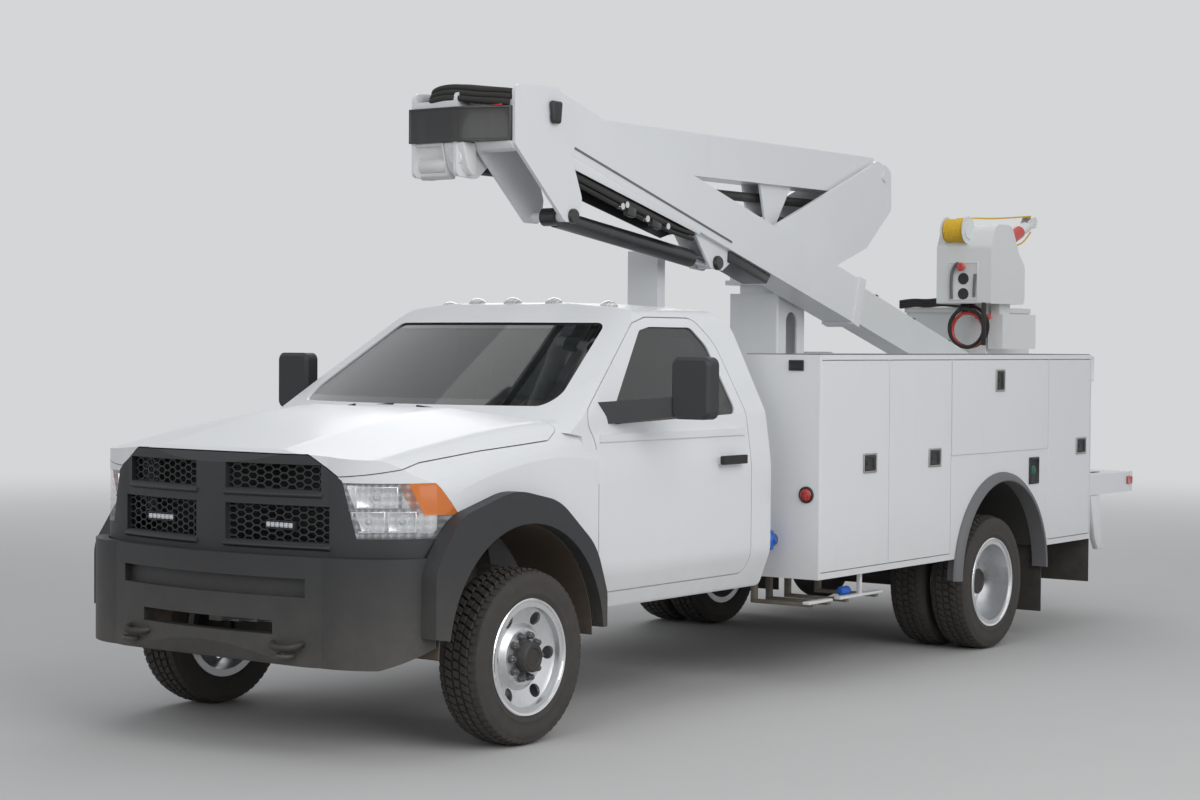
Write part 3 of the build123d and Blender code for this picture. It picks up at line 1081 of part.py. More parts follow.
half_tyre = TYRE_WIDTH / 2
tyre_profile = [(-half_tyre + 14, RIM_RADIUS + PIN_GAP), (half_tyre - 14, RIM_RADIUS + PIN_GAP),
                (half_tyre, 320),
                (half_tyre - 6, TYRE_RADIUS - 22), (half_tyre - 28, TYRE_RADIUS),
                (-half_tyre + 28, TYRE_RADIUS),
                (-half_tyre + 6, TYRE_RADIUS - 22), (-half_tyre, 320)]


def rim_profile(s, dish):
    """Rim well, flanges and a disc whose face stands at dish, on side s."""
    w = half_tyre - 14
    return [(-s * w, RIM_RADIUS), (-s * w, BEAD_RADIUS - 22), (s * (dish - 14), BEAD_RADIUS - 22),
            (s * (dish - 40), 150), (s * (dish - 14), 122), (s * (dish - 14), HUB_BORE),
            (s * dish, HUB_BORE), (s * dish, 128),
            (s * (dish - 24), 152), (s * dish, BEAD_RADIUS - 22), (s * w, BEAD_RADIUS - 22),
            (s * w, RIM_RADIUS),
            (s * (w - 10), RIM_RADIUS), (s * (w - 10), BEAD_RADIUS - 6), (-s * (w - 10), BEAD_RADIUS - 6),
            (-s * (w - 10), RIM_RADIUS)]


def wheel_face(x, y, side):
    """The plane across an axle line, looking outwards."""
    return Plane(origin=(x, y, AXLE_Z), x_dir=(1, 0, 0), z_dir=(0, side, 0))


def hub_detail(x, y, side):
    """Hand holes through the disc, with a cap and ten nuts on its outer face at y."""
    with Locations(wheel_face(x, y, side)):
        with PolarLocations(188, 6):
            Cylinder(30, 150, mode=Mode.SUBTRACT)
    with BuildSketch(wheel_face(x, y, side).offset(-1)) as nuts:
        with PolarLocations(98, 10):
            RegularPolygon(15, 6)
    extrude(nuts.sketch, amount=26)


for side, word in ((1, "left"), (-1, "right")):
    y_wheel = side * FRONT_TRACK_HALF
    with BuildPart() as rim:
        ring_at(st(0), y_wheel, rim_profile(side, 70))
        hub_detail(st(0), y_wheel + side * 70, side)
        pin_y(0, AXLE_Z, sorted((y_wheel + side * 69, y_wheel + side * 122)), 66)
        pin_y(0, AXLE_Z, sorted((y_wheel, y_wheel + side * 74)), HUB_BORE, Mode.SUBTRACT)
    rim.part.label = "front_rim_" + word
    export_step(rim.part, "parts/front_rim_" + word + ".step")
    with BuildPart() as tyre:
        ring_at(st(0), y_wheel, tyre_profile)
    tyre.part.label = "front_tyre_" + word
    export_step(tyre.part, "parts/front_tyre_" + word + ".step")
    with BuildPart() as knuckle:
        with Locations((st(0), side * KINGPIN_Y, AXLE_Z + 95), (st(0), side * KINGPIN_Y, AXLE_Z - 95)):
            Cylinder(46, 32)
        with Locations((st(0), side * KINGPIN_Y, AXLE_Z)):
            Cylinder(22, 210)
        slab((-45, 45), sorted((side * (KINGPIN_Y + 50), side * (KINGPIN_Y + 100))),
             (AXLE_Z - 111, AXLE_Z + 111))
        for z in ((AXLE_Z + 79, AXLE_Z + 111), (AXLE_Z - 111, AXLE_Z - 79)):
            slab((-30, 30), sorted((side * (KINGPIN_Y + 20), side * (KINGPIN_Y + 60))), z)
        pin_y(0, AXLE_Z, sorted((side * (KINGPIN_Y + 80), side * (FRONT_TRACK_HALF + 66))),
              HUB_BORE - SPIN_GAP)
    knuckle.part.label = "knuckle_" + word
    export_step(knuckle.part, "parts/knuckle_" + word + ".step")
    with BuildPart() as rims:
        for k, s in ((1, side), (-1, -side)):
            ring_at(REAR_AXLE_X, side * (DUAL_TRACK_HALF + k * DUAL_SPACING / 2), rim_profile(-s, 100))
        outer_face = DUAL_TRACK_HALF + DUAL_SPACING / 2 - 86
        hub_detail(REAR_AXLE_X, side * outer_face, side)
        pin_y(-WHEELBASE, AXLE_Z, sorted((side * (DUAL_TRACK_HALF - 36), side * (DUAL_TRACK_HALF + 36))),
              110)
        pin_y(-WHEELBASE, AXLE_Z, sorted((side * (outer_face - 5), side * (outer_face + 96))), 78)
        pin_y(-WHEELBASE, AXLE_Z, sorted((side * (DUAL_TRACK_HALF - 60), side * (hub_end + 3))), HUB_BORE,
              Mode.SUBTRACT)
    rims.part.label = "rear_rims_" + word
    export_step(rims.part, "parts/rear_rims_" + word + ".step")
    with BuildPart() as tyres:
        for k in (1, -1):
            ring_at(REAR_AXLE_X, side * (DUAL_TRACK_HALF + k * DUAL_SPACING / 2), tyre_profile)
    tyres.part.label = "rear_tyres_" + word
    export_step(tyres.part, "parts/rear_tyres_" + word + ".step")
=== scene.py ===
"""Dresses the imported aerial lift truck: finishes for its CAD nodes, and pieces that only looks need."""
import math

import bpy
from mathutils import Matrix, Vector


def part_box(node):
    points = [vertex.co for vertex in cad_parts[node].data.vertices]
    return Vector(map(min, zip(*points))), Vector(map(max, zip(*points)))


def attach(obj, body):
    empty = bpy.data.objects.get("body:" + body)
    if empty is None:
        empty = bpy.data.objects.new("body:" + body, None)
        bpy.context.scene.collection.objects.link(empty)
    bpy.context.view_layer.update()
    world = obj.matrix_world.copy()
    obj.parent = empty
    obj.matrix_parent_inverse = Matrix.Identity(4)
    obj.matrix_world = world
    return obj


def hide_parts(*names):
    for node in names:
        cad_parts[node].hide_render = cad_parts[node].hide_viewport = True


bl_info = {
    "name": "Aerial lift truck dressing",
    "version": (1, 0, 0),
    "blender": (4, 5, 0),
    "location": "View3D > Sidebar > Lift truck",
    "description": "Finishes and small pieces for an aerial lift truck on its CAD frame",
    "category": "Object",
}

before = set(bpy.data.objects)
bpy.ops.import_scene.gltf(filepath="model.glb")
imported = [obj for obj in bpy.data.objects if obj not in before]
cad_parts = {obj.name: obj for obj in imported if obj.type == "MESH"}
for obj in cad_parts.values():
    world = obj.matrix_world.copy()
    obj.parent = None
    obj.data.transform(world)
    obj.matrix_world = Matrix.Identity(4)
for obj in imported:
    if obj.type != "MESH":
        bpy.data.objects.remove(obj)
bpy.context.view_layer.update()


def middle(node):
    low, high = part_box(node)
    return (low + high) / 2


# Places that the CAD nodes give, in metres.
FRONT_AXLE = middle("front_tyre_left").x
REAR_AXLE = middle("rear_tyres_left").x
AXLE_Z = middle("front_tyre_left").z
BODY_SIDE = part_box("body_door_front_left")[1].y


def st(x):
    """The row frame's x of a station, in millimetres ahead of the front axle."""
    return FRONT_AXLE + x / 1000


def at(x, y, z):
    """A place from its station, side and height in millimetres."""
    return Vector((st(x), y / 1000, z / 1000))


AHEAD, LEFT, UP = (1, 0, 0), (0, 1, 0), (0, 0, 1)
# The upper boom's pivot at the elbow, its slope to the rear, its side and half its depth.
ELBOW = (-960, 2932)
SLOPE = math.radians(15.9)
BOOM_Y = 300
BOOM_HALF = 135
# The rear wheel well and the front arch: station, height and radius.
WELL = (-4372, 440, 560)
ARCH = (20, 440, 550)
# Stations of the body's front panel and of the winch housing's front.
PANEL_FRONT = -2256
HOUSING_FRONT = -5595
# Station and height of the front and rear hubs.
FRONT_HUB, REAR_HUB = (0, 395), (-4280, 395)
# The wheel nuts: how many, and the radius of their circle.
NUTS, NUT_CIRCLE = 10, 98


def on_boom(run, rise, y=BOOM_Y):
    """A place from its run along the upper boom and its rise above the boom's axis, in millimetres."""
    return (ELBOW[0] - run * math.cos(SLOPE) - rise * math.sin(SLOPE),
            y, ELBOW[1] - run * math.sin(SLOPE) + rise * math.cos(SLOPE))


def boom_line(y, *points):
    """A route of (run, rise) points along the upper boom, at one side."""
    return [on_boom(run, rise, y) for run, rise in points]


def boom_side(points):
    """(station, height) points of an outline that is given as (run, rise) points along the upper boom."""
    return [on_boom(run, rise)[::2] for run, rise in points]


def on_screen(y, up, proud=0):
    """A place on the windscreen: across, up its slope and proud of the glass, in millimetres."""
    rake, radius = math.radians(30.5), 3192
    out, lean = (math.sin(rake), math.cos(rake)), (-math.cos(rake), math.sin(rake))
    reach = math.sqrt((radius + proud) ** 2 - y * y) - 3200
    return (-209 + out[0] * reach + lean[0] * up, y, 1460 + out[1] * reach + lean[1] * up)


# Finishes


class Wire:
    """A shader socket that can stand in sums and comparisons."""

    def __init__(self, finish, socket):
        self.finish, self.socket = finish, socket

    def __add__(self, other):
        return self.finish.math("ADD", self, other)

    def __sub__(self, other):
        return self.finish.math("SUBTRACT", self, other)

    def __rsub__(self, other):
        return self.finish.math("SUBTRACT", other, self)

    def __mul__(self, other):
        return self.finish.math("MULTIPLY", self, other)

    def __gt__(self, other):
        return self.finish.math("GREATER_THAN", self, other)

    def __lt__(self, other):
        return self.finish.math("LESS_THAN", self, other)

    __radd__ = __add__


class Finish:
    """A material and the nodes that make it vary."""

    def __init__(self, name, **constants):
        self.material = bpy.data.materials.new(name)
        self.material.use_nodes = True
        self.tree = self.material.node_tree
        self.shader = self.tree.nodes["Principled BSDF"]
        for key, value in constants.items():
            self.set(key.replace("_", " ").title().replace("Ior", "IOR"), value)
        self.place = self.node("ShaderNodeTexCoord", "Object")
        self.x, self.y, self.z = (self.node("ShaderNodeSeparateXYZ", axis, inputs={0: self.place})
                                  for axis in "XYZ")

    def node(self, kind, output=0, settings=None, inputs=None):
        made = self.tree.nodes.new(kind)
        for key, value in (settings or {}).items():
            setattr(made, key, value)
        for key, value in (inputs or {}).items():
            if isinstance(value, Wire):
                self.tree.links.new(value.socket, made.inputs[key])
            else:
                made.inputs[key].default_value = value
        return Wire(self, made.outputs[output])

    def set(self, name, value):
        if isinstance(value, Wire):
            self.tree.links.new(value.socket, self.shader.inputs[name])
        else:
            self.shader.inputs[name].default_value = value

    def math(self, operation, a, b=0.0):
        return self.node("ShaderNodeMath", settings={"operation": operation}, inputs={0: a, 1: b})

    def size(self, value):
        return self.math("ABSOLUTE", value)

    def step(self, value, low, high):
        """0 below low, 1 above high, smooth between."""
        return self.node("ShaderNodeMapRange", settings={"interpolation_type": "SMOOTHSTEP"},
                         inputs={"Value": value, "From Min": low, "From Max": high})

    def noise(self, scale, detail=3.0, stretch=None, rough=0.55):
        where = self.place
        if stretch:
            where = self.node("ShaderNodeMapping", inputs={"Vector": self.place, "Scale": stretch})
        return self.node("ShaderNodeTexNoise", "Fac",
                         inputs={"Vector": where, "Scale": scale, "Detail": detail, "Roughness": rough})

    def dusty(self, shade, amount, floor, scale, colour):
        """Where dust lies, thickest below a height of floor metres, and the shade with it on."""
        low = (1 - self.step(self.z, floor, 0.95)) * self.noise(scale, 6, rough=0.7)
        return low, self.blend(low * amount, shade, colour)

    def blend(self, factor, a, b):
        a, b = (shade if isinstance(shade, Wire) else (*shade, 1.0) for shade in (a, b))
        return self.node("ShaderNodeMix", 2, {"data_type": "RGBA"}, {0: factor, 6: a, 7: b})

    def bump(self, height, strength, distance):
        self.set("Normal", self.node("ShaderNodeBump", "Normal",
                                     inputs={"Height": height, "Strength": strength, "Distance": distance}))

    def zone(self, x, y, z):
        """1 inside a box given in millimetres, on both sides of the truck."""
        inside = 1.0
        for wire, limits in ((self.x, (st(x[0]), st(x[1]))),
                             (self.size(self.y), (y[0] / 1000, y[1] / 1000)),
                             (self.z, (z[0] / 1000, z[1] / 1000))):
            inside = (wire > min(limits)) * (wire < max(limits)) * inside
        return inside

    def between(self, a, b):
        """1 behind a line that runs through two (station, height) points of the side view."""
        slope = (a[0] - b[0]) / (a[1] - b[1])
        return self.x < (self.z - b[1] / 1000) * slope + st(b[0])

    def disc(self, x, z, radius):
        """1 within a radius of an axis that lies across the truck, in millimetres."""
        a, b = self.x - st(x), self.z - z / 1000
        return self.math("SQRT", a * a + b * b) < radius / 1000


def in_sight(tree):
    """A socket that is 1 for rays that show the background: to the camera, mirrored or through glass."""
    path = tree.nodes.new("ShaderNodeLightPath")
    seen = path.outputs["Is Camera Ray"]
    for other in ("Is Glossy Ray", "Is Transmission Ray"):
        most = tree.nodes.new("ShaderNodeMath")
        most.operation = "MAXIMUM"
        tree.links.new(seen, most.inputs[0])
        tree.links.new(path.outputs[other], most.inputs[1])
        seen = most.outputs[0]
    return seen


WHITE = (0.80, 0.81, 0.82)
BACKDROP = (0.66, 0.67, 0.68)
BLACK = (0.020, 0.020, 0.021)


def paint(name, colour, roughness=0.36, coat=0.25, dust=0.0, dark=None, dark_colour=BLACK):
    """Sprayed paint with a faint orange peel, dusty near the ground; dark masks plastic or undercoat."""
    finish = Finish(name, coat_roughness=0.12)
    worn = finish.noise(1.7, 4)
    streak = finish.step(finish.noise(9, 5, stretch=(1, 1, 0.12), rough=0.65), 0.5, 0.9)
    shade = finish.blend(worn, colour, tuple(channel * 0.955 for channel in colour))
    shade = finish.blend(streak * 0.10, shade, (0.50, 0.47, 0.42))
    rough = roughness + worn * 0.1
    if dust:
        low, shade = finish.dusty(shade, dust, 0.38, 5.5, (0.36, 0.31, 0.25))
        rough = rough + low * 0.3
    gloss = coat
    if dark:
        mask = dark(finish)
        shade = finish.blend(mask, shade, dark_colour)
        rough = rough + mask * 0.25
        gloss = (1 - mask) * coat
    finish.set("Base Color", shade)
    finish.set("Roughness", rough)
    finish.set("Coat Weight", gloss)
    finish.bump(finish.noise(260, 2), 0.05, 0.0004)
    return finish.material


def moulded(name, colour, roughness=0.5, grain=700, dust=0.0):
    """Moulded plastic with a fine grain, greyer where it has weathered."""
    finish = Finish(name)
    grey = tuple(0.8 * channel + 0.02 for channel in colour)
    shade = finish.blend(finish.noise(3.0, 4) * 0.6, colour, grey)
    if dust:
        _, shade = finish.dusty(shade, dust, 0.3, 7.0, (0.30, 0.26, 0.21))
    finish.set("Base Color", shade)
    finish.set("Roughness", roughness + finish.noise(40, 3) * 0.16)
    finish.bump(finish.noise(grain, 2), 0.25, 0.0006)
    return finish.material


def metal(name, colour, roughness=0.35, brushed=None, dirt=0.3, dark=None):
    """Bare or plated metal with fine scratches and dirt in its hollows."""
    finish = Finish(name)
    marks = finish.noise(90, 4, stretch=brushed)
    grime = finish.step(finish.noise(6, 5, rough=0.7), 0.45, 0.75) * dirt
    if dark:
        grime = finish.math("MAXIMUM", grime, dark(finish) * 0.92)
    finish.set("Base Color", finish.blend(grime, colour, (0.035, 0.032, 0.03)))
    finish.set("Metallic", 1 - grime)
    finish.set("Roughness", roughness + marks * 0.15 + grime * 0.25)
    finish.bump(marks, 0.12, 0.0005)
    return finish.material


def rubber(name, colour, dust, rib=0.0):
    """Matt rubber, browner where dust clings to it."""
    finish = Finish(name)
    cling = finish.noise(14, 6, rough=0.7)
    finish.set("Base Color", finish.blend(cling * dust, colour, (0.20, 0.165, 0.125)))
    finish.set("Roughness", 0.72 + cling * 0.2)
    height = finish.noise(420, 3)
    if rib:
        height = height + finish.math("SINE", finish.x * rib)
    finish.bump(height, 0.3, 0.0008)
    return finish.material


def glass(name, colour, alpha, border=None):
    """Tinted pane, a little dusty, with a printed black border where one is asked for."""
    finish = Finish(name, coat_weight=1.0, coat_roughness=0.02)
    film = finish.noise(4.0, 5, rough=0.6)
    shade = finish.blend(film * 0.3, colour, (0.05, 0.055, 0.05))
    clear = alpha + film * 0.08
    if border:
        mask = border(finish)
        shade = finish.blend(mask, shade, (0.010, 0.010, 0.010))
        clear = finish.math("MAXIMUM", clear, mask)
    finish.set("Base Color", shade)
    finish.set("Alpha", clear)
    finish.set("Roughness", 0.02 + film * 0.05)
    return finish.material


def lens(name, colour, alpha=None, flutes=420.0, amber=None):
    """Lamp lens, fluted on its inner face, with an amber part where one is asked for."""
    finish = Finish(name, coat_weight=1.0, coat_roughness=0.03)
    ribs = finish.math("SINE", finish.y * flutes) + finish.math("SINE", finish.z * flutes * 0.7)
    deep = tuple(channel * 0.6 for channel in colour)
    shade = finish.blend(finish.step(ribs, -1.2, 1.2), deep, colour)
    clear = alpha and finish.step(ribs, 0.4, 2.2) * 0.18 + alpha
    if amber:
        mask = amber(finish)
        shade = finish.blend(mask, shade, (0.78, 0.20, 0.02))
        clear = finish.math("MAXIMUM", clear, mask * 0.85)
    finish.set("Base Color", shade)
    finish.set("Roughness", 0.06 + finish.noise(30, 3) * 0.08)
    if alpha:
        finish.set("Alpha", clear)
    finish.bump(ribs, 0.15, 0.0005)
    return finish.material


def cloth(name, colour):
    """Woven seat cover: crossed ribs with darker gaps."""
    finish = Finish(name)
    warp = finish.math("SINE", finish.y * 1900) * finish.math("SINE", (finish.z + finish.x) * 1900)
    shade = finish.blend(finish.step(warp, -0.6, 0.8), tuple(channel * 0.6 for channel in colour), colour)
    finish.set("Base Color", finish.blend(finish.noise(5, 4) * 0.4, shade,
                                          tuple(channel * 1.3 for channel in colour)))
    finish.set("Roughness", 0.85 + finish.noise(60, 2) * 0.1)
    finish.bump(warp, 0.35, 0.0005)
    return finish.material


def screen_border(finish):
    """The windscreen's printed border, which follows its outline."""
    side = 0.775 - (finish.z - 1.50) * 0.375
    ahead = finish.x > st(-1500)
    edge = finish.math("MAXIMUM", finish.size(finish.y) > side, finish.z < 1.528)
    return finish.math("MAXIMUM", edge, finish.z > 1.868) * ahead


def wheel_well(finish):
    """The undercoated faces of the rear wheel wells."""
    return finish.disc(WELL[0], WELL[1], WELL[2] + 2) * (finish.z < 1.002)


class TruckColours(bpy.types.PropertyGroup):
    """Colours that a user would change."""

    body: bpy.props.FloatVectorProperty(name="Body colour",
                                        description="Paint of the cab, the body and the booms",
                                        subtype="COLOR", size=3, min=0, max=1, default=WHITE)
    trim: bpy.props.FloatVectorProperty(name="Trim colour",
                                        description="Moulded bumper, grille and wheel arch lips",
                                        subtype="COLOR", size=3, min=0, max=1, default=(0.026, 0.027, 0.029))
    rope: bpy.props.FloatVectorProperty(name="Rope colour", description="Winch rope on its drum",
                                        subtype="COLOR", size=3, min=0, max=1, default=(0.86, 0.55, 0.04))
    jib: bpy.props.FloatVectorProperty(name="Jib colour", description="Jib sleeve, hook strap and flags",
                                       subtype="COLOR", size=3, min=0, max=1, default=(0.62, 0.05, 0.035))


class TruckSizes(bpy.types.PropertyGroup):
    """Sizes of the pieces that only the looks have."""

    tread_depth: bpy.props.FloatProperty(name="Tread depth",
                                         description="Depth of the grooves between tyre blocks",
                                         subtype="DISTANCE", unit="LENGTH",
                                         default=0.011, min=0.004, max=0.02)
    tread_blocks: bpy.props.IntProperty(name="Tread blocks", description="Blocks round one tyre in each row",
                                        default=60, min=24, max=72)
    hose: bpy.props.FloatProperty(name="Hose diameter", description="Diameter of the lift's hydraulic hoses",
                                  subtype="DISTANCE", unit="LENGTH", default=0.022, min=0.008, max=0.04)


FINISHES = {}


def make_finishes(colours):
    """Every finish by the name that the pieces use."""
    body, trim = tuple(colours.body), tuple(colours.trim)
    FINISHES.update(
        white=paint("Truck_white", body, dust=0.35),
        cab=paint("Cab_white", body, dust=0.35, dark=lambda f: f.zone((-460, 10), (0, 851), (1400, 1421))),
        door=paint("Door_white", body, dust=0.3,
                   dark=lambda f: f.zone((-1560, -1800), (1019, 1100), (1188, 1240))),
        fender=paint("Fender_white", body, dust=0.35, dark=lambda f: f.disc(ARCH[0], ARCH[1], ARCH[2] + 4)),
        shell_body=paint("Body_white", body, dust=0.35, dark=wheel_well, dark_colour=(0.045, 0.042, 0.04)),
        boom_white=paint("Boom_white", body, roughness=0.34, coat=0.3),
        elbow=paint("Elbow_white", body, roughness=0.34, coat=0.3),
        trim=moulded("Black_trim", trim, 0.46, dust=0.3),
        chassis=paint("Chassis_black", (0.018, 0.018, 0.018), 0.5, 0.2, dust=0.8),
        iron=metal("Cast_iron", (0.10, 0.095, 0.09), 0.6, dirt=0.7),
        steel=metal("Spring_steel", (0.30, 0.29, 0.28), 0.45, dirt=0.6),
        chrome=metal("Rod_chrome", (0.80, 0.80, 0.81), 0.08, brushed=(1, 30, 1), dirt=0.05),
        bright=metal("Lamp_reflector", (0.86, 0.87, 0.88), 0.10, dirt=0.0),
        front_rim=metal("Front_wheel_silver", (0.72, 0.73, 0.74), 0.32, dirt=0.25,
                        dark=lambda f: f.disc(*FRONT_HUB, 82)),
        rear_rim=metal("Rear_wheel_silver", (0.74, 0.75, 0.76), 0.34, dirt=0.25,
                       dark=lambda f: f.disc(*REAR_HUB, 66)),
        tyre=rubber("Tyre_rubber", (0.026, 0.026, 0.027), 0.30),
        flap=rubber("Flap_rubber", (0.022, 0.022, 0.022), 0.35, rib=160),
        hose=rubber("Hose_rubber", (0.020, 0.020, 0.021), 0.12),
        black=moulded("Black_plastic", BLACK, 0.42),
        black_metal=paint("Black_paint", (0.016, 0.016, 0.017), 0.32, 0.4),
        grey=moulded("Grey_plastic", (0.16, 0.16, 0.165), 0.55),
        liner=moulded("Arch_liner", (0.075, 0.050, 0.032), 0.75, dust=0.6),
        shell=moulded("White_moulding", (0.80, 0.81, 0.80), 0.36, grain=380),
        tip=paint("Tip_white", (0.80, 0.81, 0.80), 0.36, 0.1),
        pane=glass("Tinted_pane", (0.010, 0.015, 0.014), 0.70),
        screen=glass("Windscreen", (0.010, 0.015, 0.014), 0.66, border=screen_border),
        mirror=metal("Mirror_silver", (0.80, 0.82, 0.84), 0.03, dirt=0.02),
        headlamp=lens("Headlamp_lens", (0.86, 0.88, 0.90), 0.22, flutes=260,
                      amber=lambda f: f.between((668, 1177), (617, 1059)) * (f.z > 1.058) * (f.x > st(300))),
        clear=lens("Clear_lens", (0.82, 0.85, 0.88), flutes=700),
        roof_lamp=lens("Roof_lens", (0.74, 0.74, 0.72)),
        red=lens("Red_lens", (0.55, 0.015, 0.012)),
        seat=cloth("Woven_cloth", (0.10, 0.10, 0.105)),
        rope=rubber("Winch_rope", tuple(colours.rope), 0.1, rib=900),
        steel_frame=metal("Latch_steel", (0.46, 0.46, 0.45), 0.34, dirt=0.2),
        nut=moulded("Nut_cap", (0.09, 0.09, 0.095), 0.4),
        blue=moulded("Blue_cap", (0.02, 0.14, 0.62), 0.35),
        red_paint=paint("Red_paint", tuple(colours.jib), 0.35, 0.4),
        green=moulded("Green_cup", (0.03, 0.16, 0.10), 0.4),
    )


# The CAD nodes of each finish; the others are white.
NODE_FINISH = {
    "fender": ("front_fenders",),
    "cab": ("cab_shell",),
    "door": ("door_left", "door_right"),
    "shell_body": ("body_shell",),
    "boom_white": ("pedestal", "boom_rest", "turntable", "lower_boom", "upper_boom"),
    "elbow": ("elbow",),
    "shell": ("inner_boom", "bucket"),
    "tip": ("boom_tip",),
    "trim": ("grille", "front_bumper", "arch_flares", "mirror_left", "mirror_right"),
    "chassis": ("frame", "fuel_tank", "level_link"),
    "black_metal": ("lower_cylinder_barrel", "upper_cylinder_barrel"),
    "iron": ("front_axle", "rear_axle", "driveline", "knuckle_left", "knuckle_right"),
    "steel": ("springs",),
    "chrome": ("lower_cylinder_rod", "upper_cylinder_rod"),
    "front_rim": ("front_rim_left", "front_rim_right"),
    "rear_rim": ("rear_rims_left", "rear_rims_right"),
    "tyre": ("front_tyre_left", "front_tyre_right", "rear_tyres_left", "rear_tyres_right"),
    "flap": ("mudflaps",),
    "grey": ("dashboard",),
    "screen": ("cab_glass",),
    "pane": ("door_glass_left", "door_glass_right"),
    "headlamp": ("headlamps",),
    "roof_lamp": ("roof_lamps",),
    "red": ("tail_lamps",),
    "seat": ("seat",),
}


# Modelling helpers


# Vertices of a spun piece closer than WELD metres are one; edges sharper than SMOOTH stay sharp.
WELD = 0.00005
SMOOTH = math.radians(40)
# Edges sharper than BEVELLED are rounded; faces within about 26 degrees of a direction look along it.
BEVELLED = math.radians(35)
FACING = 0.9


def alone(obj=None):
    """Deselects everything, then selects and activates obj."""
    if bpy.context.object and bpy.context.object.mode != "OBJECT":
        bpy.ops.object.mode_set(mode="OBJECT")
    bpy.ops.object.select_all(action="DESELECT")
    if obj:
        obj.select_set(True)
        bpy.context.view_layer.objects.active = obj
    return obj


def settled(name):
    """Names the primitive that was just added, and puts its place and size into its mesh."""
    obj = bpy.context.object
    obj.name = obj.data.name = name
    bpy.ops.object.transform_apply(location=True, rotation=True, scale=True)
    return obj


def select_all():
    """Enters edit mode with everything selected."""
    bpy.ops.object.mode_set(mode="EDIT")
    bpy.ops.mesh.select_all(action="SELECT")


def outwards(obj):
    """In edit mode: turns every face outwards, then leaves edit mode."""
    bpy.ops.mesh.select_all(action="SELECT")
    bpy.ops.mesh.normals_make_consistent(inside=False)
    bpy.ops.object.mode_set(mode="OBJECT")
    return obj


def slab(name, x, y, z):
    """A box between stations, sides and heights in millimetres, the start of a piece."""
    alone()
    low, high = at(min(x), min(y), min(z)), at(max(x), max(y), max(z))
    bpy.ops.mesh.primitive_cube_add(size=1, location=(low + high) / 2, scale=high - low)
    return settled(name)


def block(x, y, z, width, segments=2):
    """A box with rounded edges, to be joined into a piece."""
    return rounded(slab("block", x, y, z), width, segments)


def drum(name, centre, radius, length, axis="Y", sides=32):
    """A cylinder along an axis in millimetres, the start of a piece."""
    alone()
    turn = {"X": (0, math.pi / 2, 0), "Y": (math.pi / 2, 0, 0), "Z": (0, 0, 0)}[axis]
    bpy.ops.mesh.primitive_cylinder_add(vertices=sides, radius=radius / 1000, depth=length / 1000,
                                        location=at(*centre), rotation=turn)
    return settled(name)


def flat(name, places):
    """One many-sided face through its corners, selected in edit mode, the start of a piece."""
    alone()
    bpy.ops.mesh.primitive_circle_add(vertices=len(places), radius=1, fill_type="NGON")
    obj = settled(name)
    for vertex, place in zip(obj.data.vertices, places):
        vertex.co = place
    select_all()
    return obj


def plate(name, outline, y, steps=1):
    """A flat plate from its outline in the side view, through a thickness across the truck, in steps."""
    obj = flat(name, [at(x, min(y), z) for x, z in outline])
    step = abs(y[1] - y[0]) / 1000 / steps
    for _ in range(steps):
        bpy.ops.mesh.extrude_region_move(TRANSFORM_OT_translate={"value": (0, step, 0)})
    return outwards(obj)


def front_face(node, y, z):
    """The station of a CAD node's front face at a side and height, in millimetres."""
    hit, place, _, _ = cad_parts[node].ray_cast(at(1500, y, z), Vector((-1, 0, 0)))
    if not hit:
        raise ValueError(f"nothing of {node} lies at y {y}, z {z}")
    return 1000 * (place.x - FRONT_AXLE)


def moved(obj, matrix):
    """Puts a matrix about the front axle's zero into a mesh."""
    zero = at(0, 0, 0)
    obj.data.transform(Matrix.Translation(zero) @ matrix @ Matrix.Translation(-zero))
    return obj


def pick(obj, direction):
    """Selects the faces that look along a direction, and leaves edit mode on."""
    alone(obj)
    bpy.ops.object.mode_set(mode="EDIT")
    bpy.ops.mesh.select_mode(type="FACE")
    bpy.ops.mesh.select_all(action="DESELECT")
    bpy.ops.object.mode_set(mode="OBJECT")
    aim = Vector(direction).normalized()
    for face in obj.data.polygons:
        face.select = face.normal.dot(aim) > FACING
    bpy.ops.object.mode_set(mode="EDIT")


def dished(obj, direction, border, depth):
    """Insets the faces that look along a direction by a border, then pushes them in, in millimetres."""
    pick(obj, direction)
    bpy.ops.mesh.inset(thickness=border / 1000, depth=0, use_even_offset=True)
    bpy.ops.mesh.inset(thickness=1.5 / 1000, depth=-depth / 1000, use_even_offset=True)
    bpy.ops.object.mode_set(mode="OBJECT")
    return obj


def rounded(obj, width, segments=2):
    """Rounds the edges with an applied bevel, in millimetres, and smooths by angle."""
    alone(obj)
    modifier = obj.modifiers.new("Rounded", "BEVEL")
    modifier.width, modifier.segments, modifier.limit_method = width / 1000, segments, "ANGLE"
    modifier.angle_limit = BEVELLED
    bpy.ops.object.modifier_apply(modifier=modifier.name)
    bpy.ops.object.shade_smooth_by_angle(angle=SMOOTH)
    return obj


def turned_ring(name, centre, section, axis="Y", steps=32, angle=2 * math.pi, start=UP):
    """A section of (radius, height) points in millimetres, spun round an axis through centre."""
    along, out = Vector({"X": AHEAD, "Y": LEFT, "Z": UP}[axis]), Vector(start)
    hub = at(*centre)
    obj = flat(name, [hub + out * (radius / 1000) + along * (height / 1000) for radius, height in section])
    bpy.ops.mesh.spin(steps=steps, angle=angle, center=hub, axis=along)
    bpy.ops.mesh.select_all(action="SELECT")
    bpy.ops.mesh.remove_doubles(threshold=WELD)
    outwards(obj)
    bpy.ops.object.shade_smooth_by_angle(angle=SMOOTH)
    return obj


